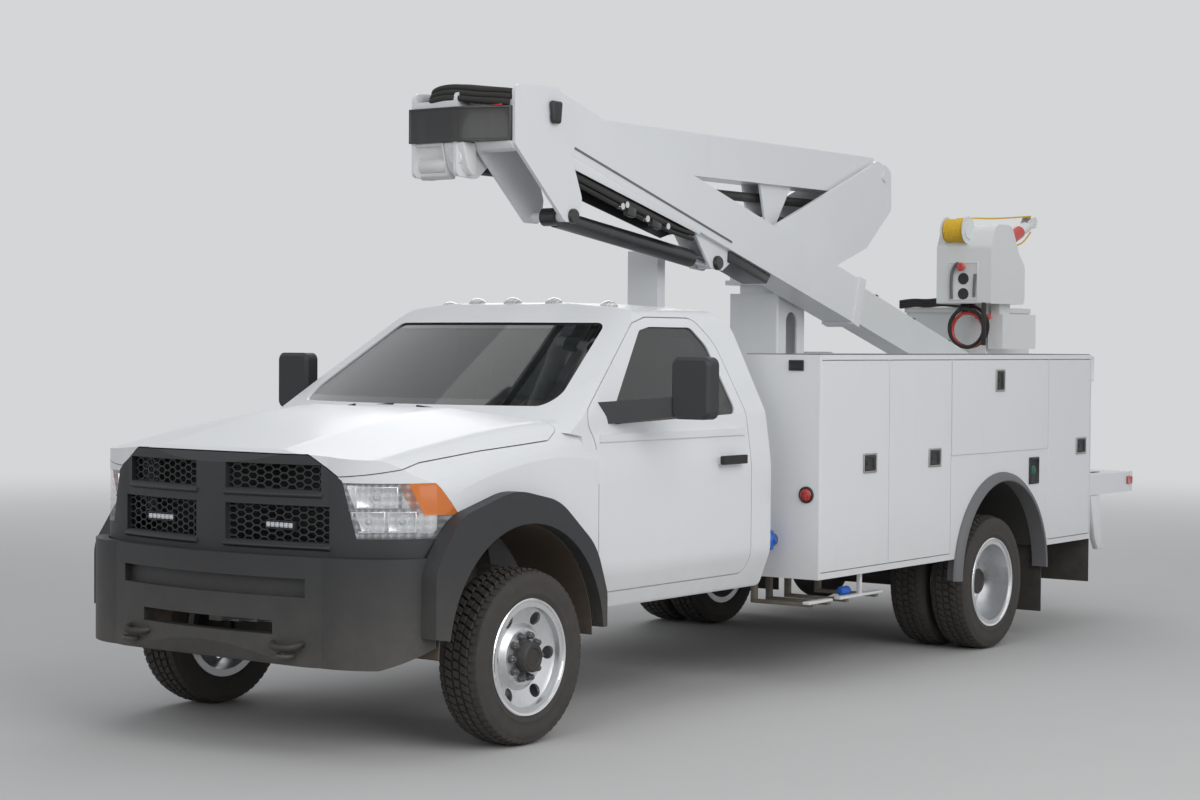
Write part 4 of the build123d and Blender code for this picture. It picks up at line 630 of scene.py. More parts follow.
def done(obj, finish, body="chassis"):
    """Gives a finished piece its finish, in its one slot, and its body: the chassis unless one is named."""
    obj.data.materials.clear()
    obj.data.materials.append(FINISHES[finish])
    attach(obj, body)
    return obj


def twin_of(obj, name, matrix):
    """A copy with its own mesh, which a matrix moves, turns or mirrors."""
    twin = obj.copy()
    twin.data = obj.data.copy()
    twin.name = twin.data.name = name
    twin.parent = None
    bpy.context.scene.collection.objects.link(twin)
    twin.data.transform(matrix)
    if matrix.determinant() < 0:
        alone(twin)
        bpy.ops.object.mode_set(mode="EDIT")
        outwards(twin)
    return twin


def both_sides(obj, finish, body="chassis"):
    """A piece on the left, named with the word left, and its mirror image on the right."""
    done(obj, finish, body)
    other = twin_of(obj, obj.name.replace("left", "right"), Matrix.Scale(-1, 4, LEFT))
    done(other, finish, body.replace("left", "right"))


def joined(name, parts):
    """Several meshes as one piece."""
    alone()
    for part in parts:
        part.select_set(True)
    bpy.context.view_layer.objects.active = parts[0]
    bpy.ops.object.join()
    obj = bpy.context.object
    obj.name = obj.data.name = name
    return obj


def hose(name, route, body, finish="hose", diameter=None):
    """A hose along a route of stations, sides and heights in millimetres, as one smooth curve."""
    curve = bpy.data.curves.new(name, "CURVE")
    curve.dimensions = "3D"
    curve.bevel_depth = (diameter or bpy.context.scene.truck_sizes.hose * 1000) / 2000
    curve.bevel_resolution, curve.resolution_u, curve.use_fill_caps = 3, 8, True
    spline = curve.splines.new("NURBS")
    spline.points.add(len(route) - 1)
    for point, place in zip(spline.points, route):
        point.co = (*at(*place), 1)
    spline.order_u, spline.use_endpoint_u = 3, True
    curve.materials.append(FINISHES[finish])
    obj = bpy.data.objects.new(name, curve)
    bpy.context.scene.collection.objects.link(obj)
    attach(obj, body)
    return obj


# Operators


class LIFT_OT_finish_nodes(bpy.types.Operator):
    """Gives every CAD node its finish"""

    bl_idname = "lift.finish_nodes"
    bl_label = "Finish CAD nodes"

    def execute(self, context):
        make_finishes(context.scene.truck_colours)
        given = {name: finish for finish, names in NODE_FINISH.items() for name in names}
        for name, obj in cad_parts.items():
            for place in obj.material_slots:
                place.material = FINISHES[given.get(name, "white")]
        return {"FINISHED"}


class LIFT_OT_tyres(bpy.types.Operator):
    """Block-tread tyres in place of the plain CAD ones, and trims on the rims"""

    bl_idname = "lift.tyres"
    bl_label = "Tyres"

    def execute(self, context):
        sizes = context.scene.truck_sizes
        low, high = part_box("front_tyre_left")
        half = (high.y - low.y) / 2
        centre = (low + high) / 2
        radius = (high.z - low.z) / 2
        casing = self.casing(centre, half, radius - sizes.tread_depth)
        treads = self.treads(centre, radius, sizes.tread_depth, sizes.tread_blocks)
        tyre = joined("tyre_front_left", [casing, treads])
        both_sides(tyre, "tyre", "front_wheel_left")
        for word in ("left", "right"):
            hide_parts("front_tyre_" + word)
        low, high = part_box("rear_tyres_left")
        shift = REAR_AXLE - FRONT_AXLE
        pair = [twin_of(tyre, "tyre_rear", Matrix.Translation((shift, y - centre.y, 0)))
                for y in (high.y - half, low.y + half)]
        pair = joined("tyres_rear_left", pair)
        both_sides(pair, "tyre", "rear_wheels_left")
        for word in ("left", "right"):
            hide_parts("rear_tyres_" + word)
        self.trims("front", "front_wheel_left", 0, 1021, (66, 1073), 1000 * (centre.y + half))
        self.trims("rear", "rear_wheels_left", 1000 * shift, 998, (78, 1094), 1000 * high.y)
        return {"FINISHED"}

    def trims(self, word, body, x, face, hub, edge):
        """Dark domed caps on the ten nuts, a turned cover on the hub and a bright bead lip on a rim."""
        z = 1000 * AXLE_Z
        caps = []
        section = [(r, face + y) for r, y in ((0.3, 33), (8, 32), (14, 25), (16.5, 8), (19, 1), (0.3, 1))]
        for number in range(NUTS):
            angle = 2 * math.pi * number / NUTS
            place = (x + NUT_CIRCLE * math.cos(angle), 0, z + NUT_CIRCLE * math.sin(angle))
            caps.append(turned_ring("nut_cap", place, section, steps=16))
        both_sides(joined(f"nut_caps_{word}_left", caps), "nut", body)
        radius, out = hub
        section = [(0.3, out + 1), (radius - 26, out + 1), (radius - 22, out + 6), (radius - 8, out + 6),
                   (radius - 2, out), (radius - 2, out - 8), (0.3, out - 8)]
        both_sides(turned_ring(f"hub_cover_{word}_left", (x, 0, z), section), "iron", body)
        section = [(r, edge + y) for r, y in ((247, -17), (262, -17), (264, -9), (259, -5), (251, -8))]
        lip = turned_ring(f"bead_lip_{word}_left", (x, 0, z), section, steps=72)
        both_sides(lip, "bright", body)

    def casing(self, centre, half, radius):
        """A ring spun from a section: a flat bead, a rim guard, a bulged side wall and the tread's base."""
        bead, wide = 262, half * 1000
        top = radius * 1000
        side = [(bead, 0.80), (bead + 3, 0.89), (bead + 12, 0.94), (bead + 20, 0.97), (bead + 26, 0.985),
                (bead + 30, 0.965), (bead + 50, 0.995), (top - 45, 1.0), (top - 26, 0.985), (top - 22, 0.955),
                (top - 8, 0.93), (top - 2, 0.86), (top, 0.70)]
        section = [(r, share * wide) for r, share in side]
        section += [(r, -share * wide) for r, share in reversed(side)]
        place = (0, 1000 * centre.y, 1000 * centre.z)
        return turned_ring("tyre_casing", place, section, steps=72)

    def treads(self, centre, radius, depth, blocks):
        """Five rows of blocks: a centre row, two skewed rows beside it and two shoulder rows."""
        pitch = 2 * math.pi / blocks
        long = radius * pitch
        rows = ((0.0, 0.032, 0.80, 0.0, 0.3), (0.043, 0.036, 0.82, 0.5, 0.5), (-0.043, 0.036, 0.82, 0.0, 0.5),
                (0.086, 0.036, 0.74, 0.2, 0.0), (-0.086, 0.036, 0.74, 0.7, 0.0))
        made = []
        for y, wide, share, phase, skew in rows:
            shoulder = abs(y) > 0.08
            low = depth * (1.9 if shoulder else 1.1)
            top = radius - (0.0045 if shoulder else 0.0)
            place = centre + Vector((0, y, top - low / 2))
            alone()
            bpy.ops.mesh.primitive_cube_add(size=1, location=place, scale=(long * share, wide, low))
            one = settled("tread_block")
            pick(one, UP)
            bpy.ops.transform.resize(value=(0.86, 0.88, 1.0), center_override=place + Vector((0, 0, low / 2)))
            bpy.ops.object.mode_set(mode="OBJECT")
            for vertex in one.data.vertices:
                vertex.co.x += (vertex.co.y - place.y) * skew
                if shoulder and vertex.co.z > place.z and abs(vertex.co.y - centre.y) > 0.09:
                    vertex.co.z -= 0.008
            back = Matrix.Translation(-centre)
            for count in range(blocks):
                turn = Matrix.Rotation((count + phase) * pitch, 4, "Y")
                made.append(twin_of(one, "tread", Matrix.Translation(centre) @ turn @ back))
            bpy.data.objects.remove(one)
        return joined("tyre_tread", made)


class LIFT_OT_nose(bpy.types.Operator):
    """Radiator, grille ledges, tow hooks, strobe lamps, lamp interiors and arch liners"""

    bl_idname = "lift.nose"
    bl_label = "Nose details"

    def execute(self, context):
        core = slab("radiator_core", (640, 680), (-610, 610), (890, 1270))
        fins = [slab("fin", (680, 690), (-600, 600), (z, z + 5)) for z in range(900, 1262, 16)]
        done(joined("radiator", [rounded(core, 4), *fins]), "black")
        self.strobes()
        self.lamps()
        liner = turned_ring("arch_liner_left", (ARCH[0], 640, ARCH[1]),
                            [(ARCH[2] - 4, 0), (ARCH[2] + 2, 0), (ARCH[2] + 2, 366), (ARCH[2] - 4, 366)],
                            angle=math.pi, start=AHEAD)
        both_sides(liner, "liner")
        self.ledges()
        self.hooks()
        return {"FINISHED"}

    def ledges(self):
        """A sloping ledge below each opening of the grille, bowed as the grille is."""
        made = []
        for number, (inner, outer, foot) in enumerate(((84, 596, 1156), (84, 636, 932))):
            profile = [(-14, foot + 6), (15, foot - 15), (15, foot - 21), (-4, foot - 34), (-14, foot - 34)]
            ledge = plate(f"grille_ledge_{number}", profile, (inner, outer), 10)
            for vertex in ledge.data.vertices:
                vertex.co.x += front_face("grille", 1000 * vertex.co.y, foot - 20) / 1000
            made.append(rounded(ledge, 3))
        both_sides(joined("grille_ledges_left", made), "trim")

    def hooks(self):
        """Bent tow hooks in the ends of the bumper's lower slot."""
        for word, y in (("left", 470), ("right", -440)):
            route = [(880, y - 70, 510), (950, y - 74, 506), (992, y - 40, 494), (996, y + 20, 490),
                     (978, y + 74, 496), (930, y + 84, 508), (890, y + 60, 512)]
            hose(f"tow_hook_{word}", route, "chassis", "iron", 30)

    def strobes(self):
        """A flat six-cell lamp on the slotted panel of each lower opening."""
        case = dished(slab("strobe_left", (864, 884), (285, 455), (985, 1023)), AHEAD, 4, 5)
        cells = [block((878, 887), (292 + 26.5 * count, 314 + 26.5 * count), (993, 1015), 3)
                 for count in range(6)]
        lamp = joined("strobe_cells_left", cells)
        both_sides(rounded(case, 3), "black")
        both_sides(lamp, "clear")

    def lamps(self):
        """Behind each headlamp lens, along its slant: a tray, three dished reflectors, bulbs and a shelf."""
        start, slant = (845, 680), math.radians(45.6)

        def settle(obj):
            """From lamp axes (outwards, along the lamp, up) to the truck's."""
            turn = Matrix.Translation((start[0] / 1000, start[1] / 1000, 0)) @ Matrix.Rotation(slant, 4, "Z")
            return moved(obj, turn)

        both_sides(settle(joined("lamp_tray_left", [block((-14, -6), (36, 420), (976, 1186), 3)])), "bright")
        cups = []
        for y, z in (((70, 250), (1086, 1180)), ((54, 196), (982, 1074)), ((206, 330), (982, 1074))):
            cups.append(rounded(dished(slab("cup", (-8, 16), y, z), AHEAD, 7, 17), 2))
            cups.append(turned_ring("cup_ring", (2, sum(y) / 2, sum(z) / 2),
                                    [(20, 0), (26, 0), (26, 9), (20, 9)], "X"))
        both_sides(settle(joined("lamp_cups_left", cups)), "bright")
        bulbs = [turned_ring("bulb", (2, y, z), [(0.3, 22), (9, 17), (13, 8), (13, -4), (0.3, -4)], "X")
                 for y, z in ((160, 1133), (125, 1028), (268, 1028))]
        both_sides(settle(joined("lamp_bulbs_left", bulbs)), "clear")
        dividers = [block((-8, 24), (40, 400), (1076, 1084), 2), block((-8, 22), (258, 266), (1084, 1184), 2)]
        both_sides(settle(joined("lamp_shelf_left", dividers)), "grey")


class LIFT_OT_cab(bpy.types.Operator):
    """Wipers, mirror glass, seats, and the small lamps and caps behind the cab"""

    bl_idname = "lift.cab"
    bl_label = "Cab details"

    def execute(self, context):
        self.wipers()
        self.mirrors()
        self.seats()
        self.behind_cab()
        return {"FINISHED"}

    def wipers(self):
        """Two arms on round pivots, each with a blade along the foot of the screen."""
        for number, (pivot, tip) in enumerate(((-560, 0), (120, 640)), 1):
            parts = []
            base = on_screen(pivot, -18, 6)
            parts.append(rounded(drum("pivot", base, 17, 26, "Z", 20), 3))
            middle_y = (pivot + tip) / 2
            for name, a, b, wide in (("arm", (pivot, -12, 16), (middle_y + 40, 62, 17), 11),
                                     ("blade", (pivot + 30, 66, 10), (tip, 74, 10), 9)):
                ends = [Vector(on_screen(*end)) for end in (a, b)]
                run = ends[1] - ends[0]
                bar = slab(name, (-run.length / 2, run.length / 2), (-wide / 2, wide / 2), (-5, 5))
                turn = run.to_track_quat("X", "Z").to_matrix().to_4x4()
                zero = Matrix.Translation(-at(0, 0, 0))
                bar.data.transform(Matrix.Translation(at(*((ends[0] + ends[1]) / 2))) @ turn @ zero)
                parts.append(rounded(bar, 2.5))
            done(joined(f"wiper_{number}", parts), "black")

    def mirrors(self):
        """Flat glass above a bowed one on each mirror head, set in a lip."""
        for name, z in (("mirror_glass_left", (1535, 1722)), ("mirror_bow_left", (1453, 1523))):
            pane = dished(slab(name, (-989, -993), (1192, 1388), z), (-1, 0, 0), 5, 1)
            both_sides(rounded(pane, 1.5), "mirror", "door_left")

    def seats(self):
        """Two bucket-shaped places and a narrow middle one on the bench, with backs and head rests."""
        cushions = []
        for y, half in ((-470, 225), (0, 215), (470, 225)):
            for part, x, z in (("base", (-1172, -1640), (965, 1112)), ("back", (-1690, -1800), (1110, 1600)),
                               ("rest", (-1740, -1830), (1600, 1690))):
                if part == "rest" and y == 0:
                    continue
                wide = half if part != "rest" else 120
                pad = slab(f"seat_{part}_{(y + 470) // 470}", x, (y - wide, y + wide), z)
                if part == "back":
                    for vertex in pad.data.vertices:
                        vertex.co.x -= (vertex.co.z - 1.11) * 0.16 - 0.045
                alone(pad)
                select_all()
                bpy.ops.mesh.subdivide(number_cuts=3)
                bpy.ops.object.mode_set(mode="OBJECT")
                modifier = pad.modifiers.new("Soft", "SUBSURF")
                modifier.levels = modifier.render_levels = 2
                bpy.ops.object.modifier_apply(modifier=modifier.name)
                bpy.ops.object.shade_smooth()
                cushions.append(pad)
        for pad in cushions:
            done(pad, "seat")
        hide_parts("seat")
        for side in (-1, 1):
            box = slab(f"seat_box_{'left' if side > 0 else 'right'}", (-1235, -1770),
                       (side * 490, side * 680), (572, 968))
            dished(box, AHEAD, 30, 8)
            done(rounded(box, 8), "black")

    def behind_cab(self):
        """On the body's front panel: a red marker lamp, a small louvre and a blue hose coupling."""
        face = PANEL_FRONT
        for name, section, finish in (
                ("marker_ring_left", [(34, 0), (44, 0), (44, 8), (40, 11), (34, 8)], "black"),
                ("marker_lens_left", [(0.3, 1), (35, 1), (35, 7), (30, 14), (16, 18), (0.3, 19)], "red")):
            both_sides(turned_ring(name, (face, 1120, 1011), section, "X"), finish)
        louvre = dished(slab("louvre_left", (face, face + 9), (1008, 1098), (1660, 1716)), AHEAD, 6, 5)
        slats = [block((face + 3, face + 8), (1016, 1090), (z, z + 4), 1) for z in (1672, 1684, 1696, 1708)]
        both_sides(joined("louvre_left", [rounded(louvre, 3), *slats]), "black")
        y, z = 915, 767
        cap = turned_ring("coupling_cap", (face, y, z),
                          [(0.3, 12), (26, 12), (26, 40), (47, 44), (47, 74), (40, 82), (0.3, 84)], "X")
        done(cap, "blue")
        lobes = [drum("lobe", (face + 58, y + 47 * math.cos(a), z + 47 * math.sin(a)), 11, 26, "X", 12)
                 for a in (k * math.pi / 3 for k in range(6))]
        done(rounded(joined("coupling_grip", lobes), 2), "blue")
        section = [(12, 0), (34, 0), (34, 6), (22, 12), (12, 12)]
        done(turned_ring("coupling_neck", (face, y, z), section, "X"), "steel")


class LIFT_OT_body(bpy.types.Operator):
    """Latches, fuel filler, arch lips, steps and lamps of the utility body"""

    bl_idname = "lift.body"
    bl_label = "Body details"

    def execute(self, context):
        side = 1000 * BODY_SIDE
        for door, x, z in (("front", -2787, 1160), ("second", -3527, 1163), ("middle", -4340, 1592),
                           ("rear", -5486, 1168)):
            self.latch(door, x, z, side)
        section = [(WELL[2] + r, y) for r, y in ((-4, -60), (1, -60), (3, 0), (46, 0), (44, 12), (20, 34),
                                                 (0, 40), (-6, 36))]
        lip = turned_ring("well_lip_left", (WELL[0], side, WELL[1]), section, steps=48, angle=math.pi,
                          start=AHEAD)
        both_sides(lip, "grey")
        self.filler(side)
        self.steps()
        self.tail()
        return {"FINISHED"}

    def latch(self, door, x, z, side):
        """A paddle latch: a bright dished frame with a dark handle and a round lock."""
        body = f"body_door_{door}_left"
        wide, tall = (58, 66) if door == "middle" else (72, 53)
        case = slab(f"latch_{door}_left", (x - wide, x + wide), (side, side + 8), (z - tall, z + tall))
        dished(case, LEFT, 10, 5)
        both_sides(rounded(case, 5), "steel_frame", body)
        paddle = slab("paddle", (x - wide + 14, x + wide - 14), (side + 2, side + 9),
                      (z - tall + 14, z + tall - 14))
        dished(paddle, LEFT, 9, 3)
        grip = slab("grip", (x - wide + 24, x - wide + 44), (side + 4, side + 11),
                    (z - tall + 20, z + tall - 20))
        lock = drum("lock", (x + wide - 34, side + 7, z), 10, 9, "Y", 20)
        both_sides(joined(f"latch_paddle_{door}_left",
                          [rounded(paddle, 3), rounded(grip, 4), rounded(lock, 1.5)]), "black", body)

    def filler(self, side):
        """Fuel filler on the left pack: a rounded frame round a dark cup with its green cap."""
        x, z = -4808, 1037
        case = slab("filler_frame", (x - 66, x + 66), (side, side + 9), (z - 82, z + 82))
        dished(rounded(case, 7), LEFT, 14, 6)
        done(case, "black")
        cap = turned_ring("filler_cap", (-4790, side + 1, 1040),
                          [(0.3, 1), (30, 1), (30, 7), (26, 10), (0.3, 10)])
        grip = block((-4796, -4784), (side + 9, side + 16), (1016, 1064), 3)
        done(joined("filler_cap", [cap, grip]), "green")

    def steps(self):
        """Below the front compartments: two white blades on a post, dark brackets and a blue cap."""
        blades = [block((-2235, -2480), (1112, 1156), (436, 452), 5),
                  block((-2560, -3020), (1112, 1156), (436, 452), 5),
                  block((-2778, -2802), (1124, 1148), (446, 568), 4)]
        both_sides(joined("side_step_left", blades), "white")
        brackets = [block((x - 16, x + 16), y, z, 3)
                    for y, z in (((760, 1150), (418, 438)), ((760, 790), (430, 575)))
                    for x in (-2300, -2450, -2640, -2960)]
        both_sides(joined("step_brackets_left", brackets), "chassis")
        cap = turned_ring("step_cap", (-2700, 1090, 470),
                          [(0.3, -46), (20, -46), (24, -38), (24, 30), (18, 44), (0.3, 46)], "X")
        strap = block((-2718, -2700), (1062, 1118), (440, 447), 2)
        done(joined("step_cap", [cap, strap]), "blue")

    def tail(self):
        """At the tail: rear flaps, corner legs, grab brackets, side lamps, and grip on shelf and packs."""
        flap = rounded(slab("rear_flap_left", (-5652, -5660), (652, 1180), (288, 566)), 2)
        both_sides(flap, "flap")
        outline = [(-5668, 838), (-5800, 838), (-5850, 520), (-5925, 498), (-5925, 486), (-5790, 486),
                   (-5740, 560)]
        leg = plate("tail_leg_left", outline, (1150, 1186))
        both_sides(rounded(leg, 3), "white")
        grab = dished(slab("grab_left", (-5641, -5690), (1120, 1190), (1575, 1735)), LEFT, 12, 10)
        both_sides(rounded(grab, 4), "white")
        top = 1000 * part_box("tail_shelf")[1].z
        lamp = dished(slab("shelf_lamp_left", (-6220, -6300), (1190, 1200), (top - 80, top - 30)), LEFT, 6, 2)
        both_sides(rounded(lamp, 4), "red")
        strips = [block((-5680, -6050), (y, y + 40), (top, top + 3), 1)
                  for y in (-1080, -960, -840, -720, -600, 560, 680, 800, 920, 1040)]
        done(joined("shelf_grip", strips), "black")
        roof = 1000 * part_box("body_shell")[1].z
        mats = [block((x, x - 660), (730, 1180), (roof, roof + 4), 1) for x in range(-2276, -4981, -676)]
        both_sides(joined("pack_mat_left", mats), "grey")


class LIFT_OT_elbow(bpy.types.Operator):
    """Front band, casting, pin caps, hose bundle and hose tray of the elbow and the upper boom"""

    bl_idname = "lift.elbow"
    bl_label = "Elbow and boom details"

    def execute(self, context):
        band = plate("elbow_band", [(0, 2774), (0, 2943), (-720, 2943), (-720, 2774)], (-152, 416), 12)
        for vertex in band.data.vertices:
            if vertex.co.x > st(-360):
                vertex.co.x += self.front_line(1000 * vertex.co.y) / 1000
        dished(band, AHEAD, 10, 3)
        done(rounded(band, 5, 3), "black_metal", "elbow")
        self.casting()
        cap = slab("pin_cap_near", (ELBOW[0] - 44, ELBOW[0] + 44), (433, 462), (ELBOW[1] - 55, ELBOW[1] + 57))
        for vertex in cap.data.vertices:
            if vertex.co.z < ELBOW[1] / 1000:
                vertex.co.x += 0.25 * (st(ELBOW[0]) - vertex.co.x)
        done(rounded(cap, 16, 4), "black", "elbow")
        for number, (x, z, y) in enumerate(((-790, 2865, -156), (-1120, 2430, 436)), 1):
            button = turned_ring(f"pin_button_{number}", (x, y, z),
                                 [(0.3, -14), (34, -14), (38, -8), (38, 8), (34, 14), (0.3, 14)])
            done(button, "black_metal", "elbow")
        self.bundle()
        self.tray()
        return {"FINISHED"}

    def front_line(self, y):
        """The elbow's front in plan: straight, then bent back towards the near plate, in millimetres."""
        return -546 - max(0, y - 160) * 0.377

    def casting(self):
        """Below the band: a recessed block and a tube, a web with a boss, and a lip to the near plate."""
        outline = [(-566, 2774), (-664, 2774), (-664, 2600), (-640, 2598), (-604, 2612)]
        left = plate("left", outline, (-142, 52))
        dished(left, (0.97, 0, -0.22), 16, 26)
        tube = turned_ring("tube", (-622, 0, 2668),
                           [(0.3, -140), (34, -140), (38, -134), (38, 44), (34, 50), (0.3, 50)])
        web = plate("web", [(-562, 2774), (-664, 2774), (-664, 2616), (-640, 2612), (-596, 2650)], (56, 186))
        boss = turned_ring("boss", (-600, 124, 2700),
                           [(10, -20), (38, -20), (38, 22), (32, 28), (14, 28), (10, 20)], "X")
        lip = plate("lip", [(-640, 2774), (-720, 2774), (-720, 2726), (-668, 2738)], (186, 412))
        pieces = [rounded(left, 5), tube, rounded(web, 8, 3), boss, rounded(lip, 5)]
        done(joined("elbow_casting", pieces), "shell", "elbow")
        section = [(0.3, 2), (12, 2), (12, 20), (8, 23), (0.3, 23)]
        bolt = turned_ring("boss_bolt", (-600, 124, 2700), section, "X")
        done(bolt, "grey", "elbow")

    def bundle(self):
        """Nine hoses that bulge over the elbow from the lower boom to the near plate, in three layers."""
        for number in range(9):
            layer, row = divmod(number, 3)
            y = -66 + 22 * row
            x = -562 - 33 * row - 14 * layer
            z = 2962 + 27 * layer
            sag = 4 * math.sin(number * 2.1)
            route = [(x - 190, y, z + 4), (x - 110, y - 4, z + 8), (x - 30, y + 6, z + sag),
                     (x, y + 60, z + 22 + sag), (x - 6, y + 170, z + 30), (x - 40, y + 290, z + 12 + sag),
                     (x - 70, 370, z + 2), (x - 84, 403, z - 4)]
            hose(f"elbow_hose_{number + 1}", route, "elbow", diameter=31)
        tag = plate("bundle_tag", [(-618, 2944), (-664, 2944), (-664, 2960), (-634, 2968)], (318, 372))
        done(rounded(tag, 3), "red_paint", "elbow")

    def tray(self):
        """Under the upper boom: a tapered channel, skirts, hoses with valve blocks, and a wedge guard."""
        def along(name, outline, y, round_by=3):
            return rounded(plate(name, boom_side(outline), y), round_by)

        under = -BOOM_HALF
        shape = [(262, under - 1), (292, -262), (1330, -207), (1450, under - 1)]
        done(joined("hose_tray", [along("wall", shape, y) for y in ((222, 230), (370, 378))]), "black_metal",
             "upper_boom")
        skirt = [(240, under), (250, -196), (1450, -152), (1450, under)]
        done(joined("boom_skirts", [along("skirt", skirt, y, 1.5) for y in ((200, 204), (396, 400))]),
             "boom_white", "upper_boom")
        tops = [(y, -152, 0) for y in (246, 282, 318, 354)] + [(390, -224, 1), (390, -252, 1)]
        for number, (y, rise, drop) in enumerate(tops, 1):
            hose(f"tray_hose_{number}", boom_line(y, (275, rise - 4), (420, rise), (800, rise + 8 * drop),
                                                  (1200, rise + 30 * drop), (1400, rise + 60 * drop)),
                 "upper_boom", diameter=23)
        blocks = []
        for a, b, deep in ((760, 840, 268), (990, 1080, 256)):
            outline = [(a, -214), (a + 8, -deep), (b, 6 - deep), (b, -214)]
            blocks.append(along("valve", outline, (379, 408), 4))
        done(joined("tray_valves", blocks), "black_metal", "upper_boom")
        unions = []
        for run, rise in ((700, -246), (735, -226), (930, -236), (1120, -214)):
            x, _, z = on_boom(run, rise)
            section = [(0.3, -18), (13, -18), (13, 4), (17, 6), (17, 18), (0.3, 18)]
            unions.append(turned_ring("union", (x, 404, z), section))
        done(joined("tray_unions", unions), "chrome", "upper_boom")
        guard = [(1780, under - 1), (1790, under - 62), (2200, under - 62), (2230, under - 1)]
        done(along("boom_guard", guard, (216, 384), 6), "black_metal", "upper_boom")
        lug = (ELBOW[0] - 1564, ELBOW[1] - 689)
        section = [(0.3, 371), (40, 371), (40, 384), (32, 394), (0.3, 394)]
        done(turned_ring("lug_pin", (lug[0], 0, lug[1]), section), "black_metal", "upper_boom")
        # A thin proud grey strip along the boom's side: painted shade that stands for a groove.
        strip = along("groove_shade_strip", [(250, -98), (250, -86), (1760, -86), (1760, -98)], (400, 403.5), 1)
        done(strip, "grey", "upper_boom")
        flag = [(262, under - 40), (262, under - 6), (352, under - 14), (352, under - 32)]
        done(along("limit_flag", flag, (380, 392), 2), "red_paint", "upper_boom")


